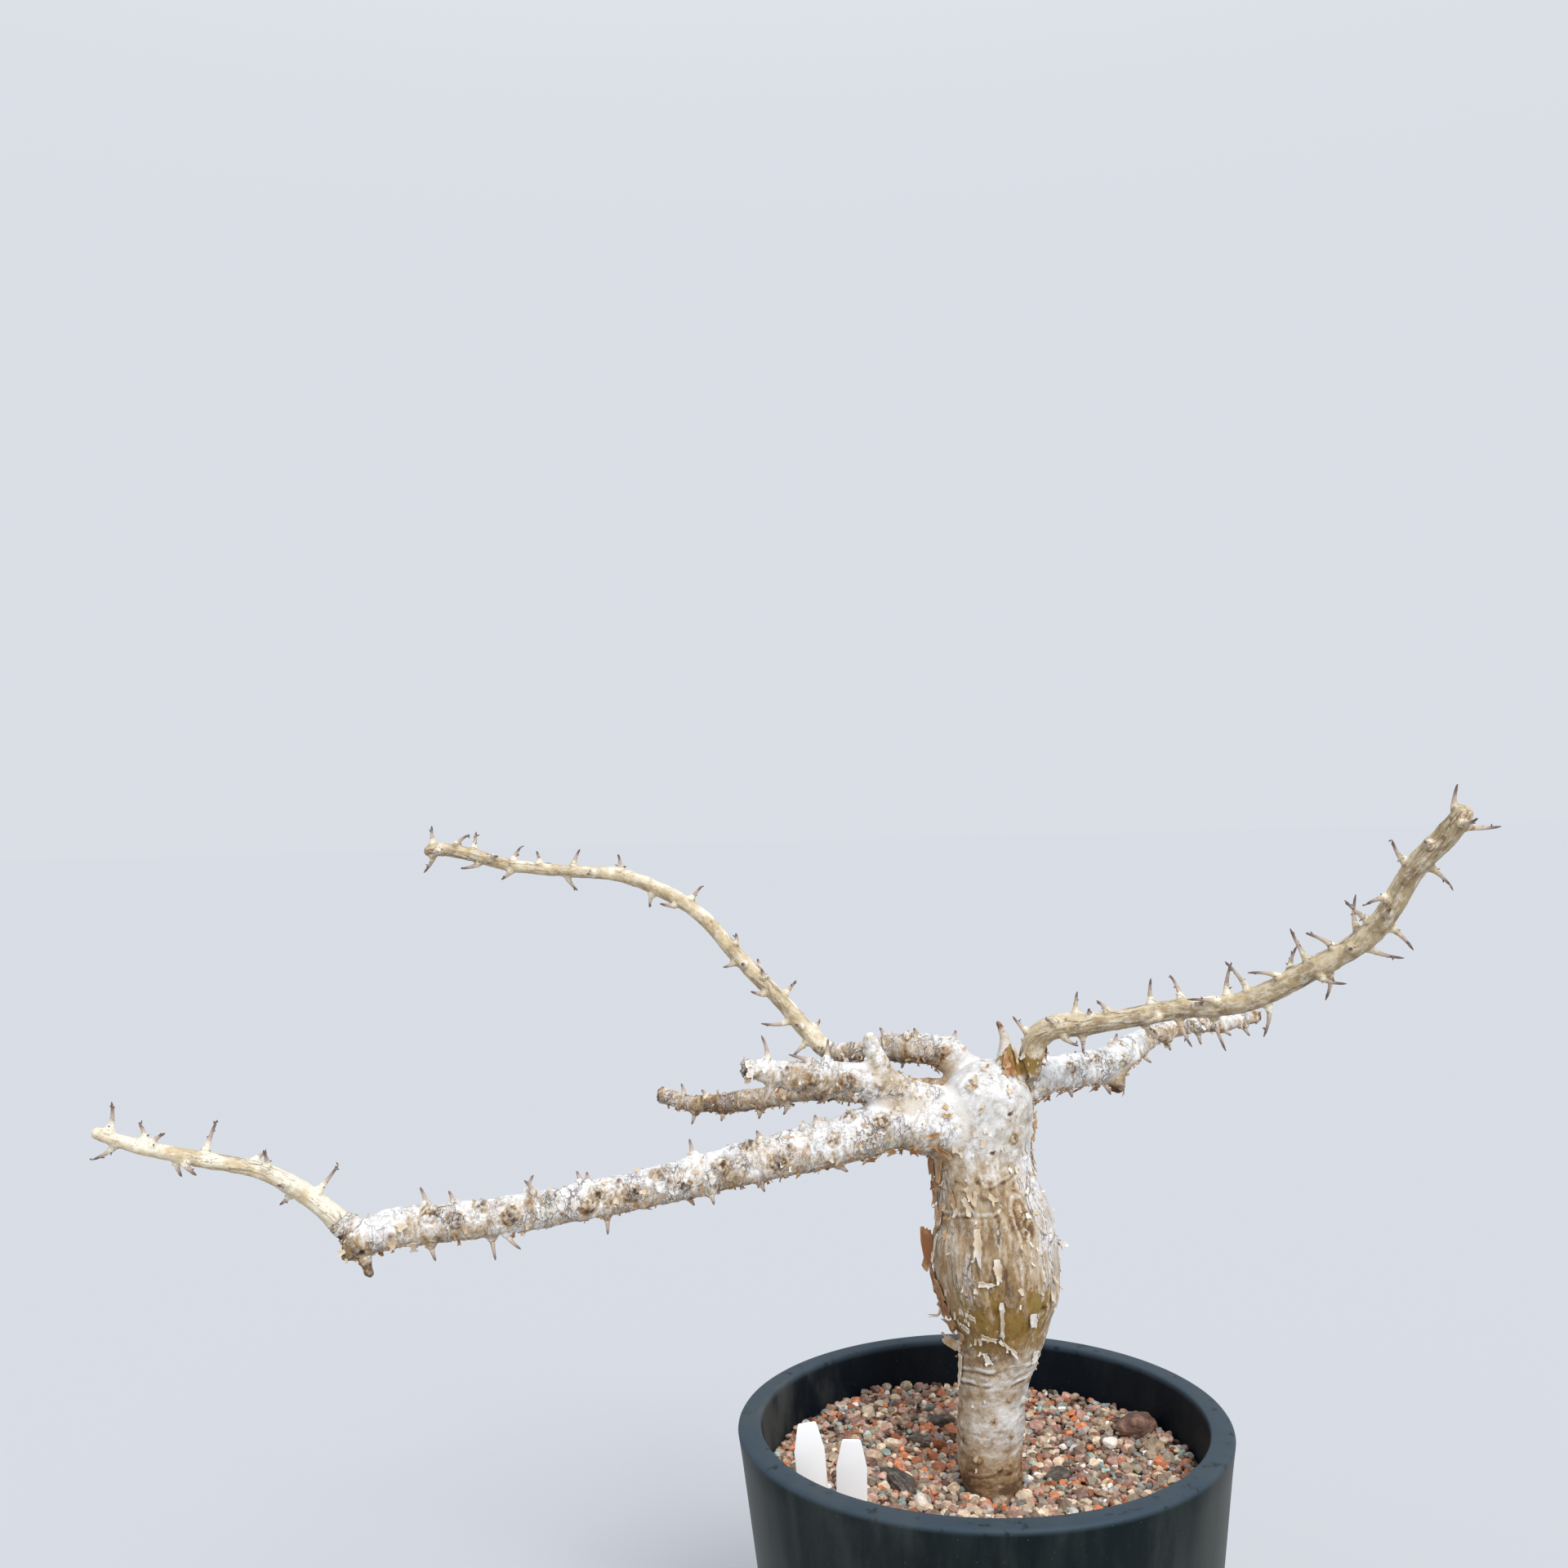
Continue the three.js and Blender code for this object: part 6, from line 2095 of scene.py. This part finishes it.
@dataclass
class Gravel:
    """Grit bed with its cover of loose grains."""

    centre_height: float = 200.0
    edge_rise: float = 13.0
    edge_radius: float = 118.0
    mound: tuple[float, float, float, float] = (-45.0, 88.0, 46.0, 4.0)
    seed: int = 7
    clearance: float = 0.3
    jitter: float = 0.28
    row_step: float = 0.866
    smallness: float = 2.2
    top_rings: int = 22
    ring_width: float = 5.0
    prototype_count: int = 6
    prototype_seed: int = 90
    layers: tuple[tuple[float, float, float, float], ...] = (
        (4.0, -0.4, 2.1, 3.6), (4.0 * 1.3, 1.4, 1.95, 3.8), (19.0, 1.6, 3.6, 5.4),
    )
    pot: Pot = field(default_factory=Pot)

    def height(self, x: Array, y: Array) -> Array:
        """Height of the grit at a place, in millimetres."""
        across, away, width, rise = self.mound
        bank = self.edge_rise * (np.hypot(x, y) / self.edge_radius) ** 2
        gap = np.hypot(x - across, y - away) / width
        return self.centre_height + bank + rise * bell(gap)

    def bed(self, finish: Material) -> None:
        """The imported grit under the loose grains, from the pot's floor up.

        Args:
            finish: Its material.
        """
        bottom = self.pot.floor + self.clearance
        rows = [(self.pot.inner(bottom) - 6.0 - self.clearance, bottom)]
        rows += [(self.pot.inner(z) - self.clearance, z) for z in (bottom + 6, 80.0, 140.0, 190.0, 208.0)]
        circle = bpy.ops.mesh.primitive_circle_add
        piece = started("grit_bed", circle, vertices=72, radius=rows[0][0] * MM, fill_type="NGON")
        piece.location = (0, 0, bottom * MM)
        settle(piece)
        loft(piece, rows, insets=self.top_rings, step=self.ring_width)
        places = positions(piece)
        x, y = places[:, 0] / MM, places[:, 1] / MM
        on_top = places[:, 2] > 207.0 * MM
        lumps = Noise(self.seed).fractal(places / MM / 4.0, 3)
        level = (self.height(x, y) - 1.6 + 0.6 * lumps) * MM
        places[:, 2] = np.where(on_top, level, places[:, 2])
        set_positions(piece, places)
        # Painted shade: the bed is darkened to about half its soil colour, so the gaps between the grains read
        # dark.
        set_value(piece, "shade", np.full(len(places), 0.1))
        hand_in(piece, finish, ["grit"])

    def prototypes(self) -> list[Mesh]:
        """Six angular grains, about 2 mm across before scaling.

        Returns:
            Places round the origin and triangles.
        """
        shapes = []
        for number in range(self.prototype_count):
            piece = started("grain", bpy.ops.mesh.primitive_ico_sphere_add, subdivisions=2, radius=1.0)
            draw = np.random.default_rng(self.prototype_seed + number)
            places = positions(piece)
            for direction in draw.normal(size=(8, 3)):
                direction /= np.linalg.norm(direction)
                over = places @ direction - draw.uniform(0.5, 0.85)
                places -= np.clip(over, 0.0, None)[:, None] * direction
            squash = np.array([1.15, 0.8 + 0.05 * number, 0.65 + 0.06 * (number % 4)])
            set_positions(piece, places * squash)
            thin = piece.modifiers.new("fewer_faces", "DECIMATE")
            thin.ratio = 0.5
            apply_modifiers(piece)
            shapes.append((positions(piece), triangles(piece)))
            bpy.data.objects.remove(piece)
        return shapes

    def scatter(self, keep_clear: Rule) -> Array:
        """Places of the grains: a loose layer over the whole surface and a sparser one on it.

        Args:
            keep_clear: Says which places are taken by the trunk, a label or a stone.

        Returns:
            Rows of x, y, z and size in millimetres.
        """
        draw = np.random.default_rng(self.seed)
        rows = []
        for pitch, lift, low, high in self.layers:
            steps = int(2 * self.edge_radius / pitch) + 2
            for i in range(steps):
                for j in range(int(steps / self.row_step)):
                    x = (i + 0.5 * (j % 2)) * pitch - self.edge_radius + draw.normal() * pitch * self.jitter
                    y = j * pitch * self.row_step - self.edge_radius + draw.normal() * pitch * self.jitter
                    size = low + (high - low) * draw.random() ** self.smallness
                    rise = lift + draw.uniform(-0.5, 0.6)
                    rows.append((x, y, rise, size))
        grains = np.array(rows)
        x, y = grains[:, 0], grains[:, 1]
        level = self.height(x, y)
        wall = self.pot.inner(level) - 1.0 - grains[:, 3] * 0.8
        fine = (np.hypot(x, y) < wall) & ~keep_clear(x, y)
        grains[:, 2] += level
        return grains[fine]

    def build(self, keep_clear: Rule, effects: Effects) -> None:
        """Builds and hands in the bed and every colour family of grains.

        Args:
            keep_clear: Says which places are taken.
            effects: The shared effects.
        """
        soil_with_gap_shade = RockFinish("grit_soil", (0.10, 0.065, 0.045), (0.20, 0.14, 0.10), scale=300.0)
        self.bed(soil_with_gap_shade.material(effects))
        grains = self.scatter(keep_clear)
        draw = np.random.default_rng(self.seed + 1)
        shares = np.array([family.value[1] for family in Grain])
        family_of = draw.choice(len(shares), len(grains), p=shares / shares.sum())
        family_of = np.where(grains[:, 3] > 3.3, family_of % 4, family_of)
        shapes = self.prototypes()
        for number, family in enumerate(Grain):
            parts, faces, shades = [], [], []
            offset = 0
            for x, y, z, size in grains[family_of == number]:
                shape, corners = shapes[draw.integers(len(shapes))]
                turn = np.array(Matrix.Rotation(draw.uniform(0, math.tau), 3, "Z"))
                tilt = np.array(Matrix.Rotation(draw.normal() * 0.45, 3, "X"))
                parts.append((shape * size) @ (turn @ tilt).T * MM + np.array([x, y, z]) * MM)
                faces.append(corners + offset)
                shades.append(np.full(len(shape), draw.random()))
                offset += len(shape)
            piece = mesh_piece(f"grains_{family.value[0]}", np.vstack(parts), np.vstack(faces))
            set_value(piece, "shade", np.concatenate(shades))
            hand_in(piece, family.finish().material(effects), sharp=28.0)


@dataclass
class Stone:
    """A larger stone lying in its seat in the grit."""

    node: str
    slot: Slot
    finish: RockFinish
    half: tuple[float, float, float]
    turn: float
    seed: int
    lumps: float = 0.12

    def build(self, effects: Effects) -> None:
        """Builds and hands in the stone.

        Args:
            effects: The shared effects.
        """
        low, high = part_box(self.node)
        add = bpy.ops.mesh.primitive_ico_sphere_add
        piece = started(f"{self.node}_rock", add, subdivisions=5, radius=1.0)
        noise = Noise(self.seed)
        places = positions(piece)
        broad = noise.fractal(places * 1.3, 2)
        facets = noise.facets(places * 1.9)
        form = 0.97 + self.lumps * broad + 0.05 * smoothstep(0.0, 0.5, facets)
        form += 0.03 * noise.fractal(places * 6.0, 3)
        set_positions(piece, places * form[:, None] * np.array(self.half) * MM)
        settle_at(piece, (low + high) / 2, self.turn)
        set_value(piece, "shade", np.clip(0.5 + 0.4 * broad, 0.0, 1.0))
        hand_in(piece, self.finish.material(effects), [self.node])


@dataclass
class BarkChip:
    """A splintered chip of dark bark on the grit."""

    node: str
    half: tuple[float, float, float]
    turn: float
    seed: int

    def build(self, finish: Material) -> None:
        """Builds and hands in the chip.

        Args:
            finish: Its material.
        """
        low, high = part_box(self.node)
        piece = started(f"{self.node}_splinter", bpy.ops.mesh.primitive_cube_add, size=2.0)
        bpy.ops.object.mode_set(mode="EDIT")
        bpy.ops.mesh.select_all(action="SELECT")
        bpy.ops.mesh.subdivide(number_cuts=14)
        bpy.ops.object.mode_set(mode="OBJECT")
        soft = piece.modifiers.new("soften", "SMOOTH")
        soft.iterations = 6
        apply_modifiers(piece)
        noise = Noise(self.seed)
        places = positions(piece)
        taper = 1.0 - 0.4 * np.abs(places[:, 0]) ** 2 + 0.12 * np.sin(4 * places[:, 0] + self.seed)
        fibre = noise.fractal(places * np.array([1.2, 7.0, 7.0]), 4)
        ends = noise.fractal(places * np.array([0.5, 6.0, 6.0]) + 9.0, 2)
        places = np.stack(
            [
                places[:, 0] * (1.0 + 0.10 * ends * np.abs(places[:, 0])),
                places[:, 1] * taper * (1.0 + 0.12 * fibre),
                places[:, 2] * taper * (1.0 + 0.22 * fibre) - 0.25 * places[:, 0] ** 2,
            ],
            axis=1,
        )
        set_positions(piece, places * np.array(self.half) * MM * 0.98)
        settle_at(piece, (low + high) / 2, self.turn)
        set_value(piece, "shade", np.clip(0.5 + 0.5 * fibre, 0.0, 1.0))
        hand_in(piece, finish, [self.node])


@dataclass
class PlantLabel:
    """Blank plastic label pushed into the grit."""

    node: str
    foot: tuple[float, float]
    height: float
    lean: float
    turn: float
    width: float = 16.0
    top_width: float = 10.0
    shoulder: float = 13.0
    thickness: float = 0.8
    buried: float = 40.0

    def sections(self) -> list[tuple[float, float]]:
        """Width and height of the label from its point upwards, in millimetres."""
        low = -self.buried
        rows = [(self.width * 0.3, low), (self.width * 0.7, low + 9), (self.width, low + self.width)]
        rows += [(self.width, -10.0), (self.width, 8.0), (self.width, self.height - self.shoulder - 1.0)]
        rows += [(self.width - 0.6, self.height - self.shoulder), (self.top_width + 0.3, self.height - 1.4)]
        rows += [(self.top_width - 0.6, self.height - 0.4), (self.top_width - 2.0, self.height)]
        return rows

    def build(self, gravel: Gravel, finish: Material) -> None:
        """Builds and hands in the label.

        Args:
            gravel: The grit that it stands in.
            finish: Its material.
        """
        rows = self.sections()
        piece = started(f"{self.node}_strip", bpy.ops.mesh.primitive_plane_add, size=1.0)
        piece.location = (0.0, 0.0, rows[0][1] * MM)
        piece.scale = (rows[0][0] * MM, self.thickness * MM, 1.0)
        settle(piece)
        loft(piece, rows, flat=True)
        bevel = piece.modifiers.new("soft_edge", "BEVEL")
        bevel.width = 0.22 * MM
        bevel.segments = 3
        bevel.limit_method = "ANGLE"
        apply_modifiers(piece)
        lean = Matrix.Rotation(-math.radians(self.lean), 4, "Y")
        turn = Matrix.Rotation(math.radians(self.turn), 4, "Z")
        x, y = self.foot
        level = float(gravel.height(np.array([x]), np.array([y]))[0])
        piece.matrix_world = Matrix.Translation(Vector((x, y, level)) * MM) @ turn @ lean
        settle(piece)
        hand_in(piece, finish, [self.node])


# Stage


@dataclass(frozen=True)
class PhotoCamera:
    """Camera at the photograph's viewpoint, solved from the rim of the pot."""

    place: tuple[float, float, float] = (-0.1006, -0.841, 0.570)
    pitch: float = 1.54
    roll: float = -1.46
    focal_pixels: float = 1838.0
    frame_pixels: float = 1920.0
    sensor: float = 36.0

    def build(self) -> None:
        """Adds the camera and makes it the scene's camera."""
        pitch, roll = math.radians(self.pitch), math.radians(self.roll)
        forward = Vector((0.0, math.cos(pitch), math.sin(pitch)))
        right = Vector((1.0, 0.0, 0.0))
        up = right.cross(forward)
        turned_right = math.cos(roll) * right + math.sin(roll) * up
        turned_up = -math.sin(roll) * right + math.cos(roll) * up
        data = bpy.data.cameras.new("photo_camera")
        data.sensor_width = self.sensor
        data.lens = self.sensor * self.focal_pixels / self.frame_pixels
        data.clip_start = 0.01
        data.clip_end = 50.0
        camera = bpy.data.objects.new("photo_camera", data)
        bpy.context.scene.collection.objects.link(camera)
        basis = Matrix((turned_right, turned_up, -forward)).transposed().to_4x4()
        camera.matrix_world = Matrix.Translation(Vector(self.place)) @ basis
        bpy.context.scene.camera = camera


@dataclass(frozen=True)
class Studio:
    """Pale floor that runs into a pale sky, with the light strongest from above."""

    floor_colour: Colour = (0.548, 0.564, 0.589)
    sky_colour: Colour = (0.70, 0.73, 0.79)
    overhead: Colour = (0.95, 0.98, 1.04)
    floor_radius: float = 60.0
    floor_drop: float = 0.0005
    key_energy: float = 2.0
    key_angle: float = 24.0
    key_colour: Colour = (1.0, 0.99, 0.97)
    key_aim: tuple[float, float, float] = (-0.38, 0.92, -0.88)

    def build(self) -> None:
        """Adds the floor, the sky and the key light."""
        bpy.context.scene.view_settings.view_transform = "Standard"
        circle = bpy.ops.mesh.primitive_circle_add
        floor = started("studio_floor", circle, vertices=64, radius=self.floor_radius, fill_type="NGON")
        floor.location = (0.0, 0.0, -self.floor_drop)
        settle(floor)
        material, graph, surface = new_finish("studio_floor")
        graph.fill(surface, {"Base Color": self.floor_colour, "Roughness": 1.0, "Specular IOR Level": 0.0})
        floor.data.materials.append(material)
        self._sky()
        data = bpy.data.lights.new("key", "SUN")
        data.energy = self.key_energy
        data.angle = math.radians(self.key_angle)
        data.color = self.key_colour
        key = bpy.data.objects.new("key", data)
        bpy.context.scene.collection.objects.link(key)
        key.matrix_world = Vector(self.key_aim).to_track_quat("-Z", "Y").to_matrix().to_4x4()

    def _sky(self) -> None:
        """Even sky, brighter straight above."""
        world = bpy.data.worlds.new("soft_sky")
        world.use_nodes = True
        graph = Graph(world.node_tree)
        split = graph.axes(graph.add("ShaderNodeTexCoord").outputs["Generated"])
        above = graph.ramp(split.outputs["Z"], 0.35, 0.95)
        colour = graph.mix(above, self.sky_colour, self.overhead)
        graph.feed(world.node_tree.nodes["Background"].inputs["Color"], colour)
        bpy.context.scene.world = world


# The whole part

LAVA = RockFinish("lava_rock", (0.16, 0.085, 0.06), (0.27, 0.155, 0.11), pits=1.6, relief=0.0012, scale=160.0)
TAN = RockFinish("tan_rock", (0.40, 0.28, 0.18), (0.52, 0.39, 0.27), scale=200.0)
WHITE = RockFinish("white_rock", (0.80, 0.76, 0.70), (0.68, 0.60, 0.50), scale=250.0, roughness=0.6)
SPECKLED = RockFinish("speckled_rock", (0.62, 0.55, 0.46), (0.72, 0.66, 0.58), specks=0.9, scale=230.0)
CHIP_WOOD = RockFinish("chip_wood", (0.085, 0.066, 0.052), (0.19, 0.16, 0.13), scale=260.0, pits=0.8)
STONES = [
    Stone("lava_stone", Slot.LAVA, LAVA, (11.5, 9.0, 7.5), 20.0, 31, 0.16),
    Stone("tan_stone", Slot.TAN, TAN, (6.5, 5.5, 4.5), 60.0, 32),
    Stone("white_pebble", Slot.WHITE, WHITE, (5.0, 4.0, 3.6), 10.0, 33),
    Stone("speckled_pebble", Slot.SPECKLED, SPECKLED, (6.5, 5.0, 4.4), 75.0, 34),
]
CHIPS = [
    BarkChip("bark_chip_1", (17.5, 6.4, 3.8), 108.0, 41),
    BarkChip("bark_chip_2", (9.0, 5.0, 3.0), 15.0, 42),
    BarkChip("bark_chip_3", (8.0, 4.5, 2.8), 150.0, 43),
    BarkChip("bark_chip_4", (9.0, 5.0, 3.0), 35.0, 44),
]
TRUNK_PLACE = 5.0
TRUNK_REACH = 17.2
LABELS = [
    PlantLabel("label_left", (-94.0, -44.0), 46.0, 4.0, 8.0),
    PlantLabel("label_right", (-75.0, -52.0), 42.0, -1.0, -4.0),
]
# The last number is each shoot's whiteness. The right shoot's lower value is partly painted shade, because that
# shoot stands in shade.
SHOOTS = [
    YoungShoot("shoot_left_skin", "shoot_left", LEFT_SHOOT, 16.0, LEFT_SHOOT_SPINES, 51, 0.76),
    YoungShoot(
        "shoot_upper_left_skin", "shoot_upper_left", UPPER_LEFT_SHOOT, 24.0, UPPER_LEFT_SHOOT_SPINES, 52, 0.55
    ),
    YoungShoot("shoot_right_skin", "shoot_right", RIGHT_SHOOT, 20.0, RIGHT_SHOOT_SPINES, 53, 0.42),
]


def turned_from(x: Array, y: Array, centre: Sequence[float], turn: float) -> tuple[Array, Array]:
    """How far places are along and across an item at a centre, turned in degrees."""
    angle = math.radians(turn)
    x, y = x - centre[0], y - centre[1]
    return x * math.cos(angle) + y * math.sin(angle), -x * math.sin(angle) + y * math.cos(angle)


def taken_places(x: Array, y: Array) -> Array:
    """Says where no grain may lie: in the trunk, a label, a stone or a chip.

    Args:
        x: Places across, in millimetres.
        y: Places away, in millimetres.

    Returns:
        True where the place is taken.
    """
    taken = np.hypot(x - TRUNK_PLACE, y) < TRUNK_REACH
    for item in (*STONES, *CHIPS):
        low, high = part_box(item.node)
        along, across = turned_from(x, y, (low + high) / 2 / MM, item.turn)
        taken |= np.hypot(along / item.half[0], across / item.half[1]) < 0.9
    for label in LABELS:
        along, across = turned_from(x, y, label.foot, label.turn)
        taken |= (np.abs(along) < label.width / 2 + 0.8) & (np.abs(across) < 1.6)
    return taken


def main() -> None:
    """Builds the part, its stage and its camera."""
    logging.basicConfig(level=logging.INFO, format="%(name)s: %(message)s")
    effects = Effects()
    PhotoCamera().build()
    Studio().build()

    Pot().build(PotFinish().material(effects))
    gravel = Gravel()
    gravel.build(taken_places, effects)
    label_finish = LabelFinish().material(effects)
    for label in LABELS:
        label.build(gravel, label_finish)
    for stone in STONES:
        stone.build(effects)
    chip_finish = CHIP_WOOD.material(effects)
    for chip in CHIPS:
        chip.build(chip_finish)

    young = YoungBarkFinish().material(effects)
    bark = OldWood().build(OldBarkFinish().material(effects), young)
    BarkFlakes().build(bark, FlakeFinish().material(effects))
    for shoot in SHOOTS:
        shoot.build(young)

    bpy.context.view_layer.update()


if __name__ == "__main__":
    main()
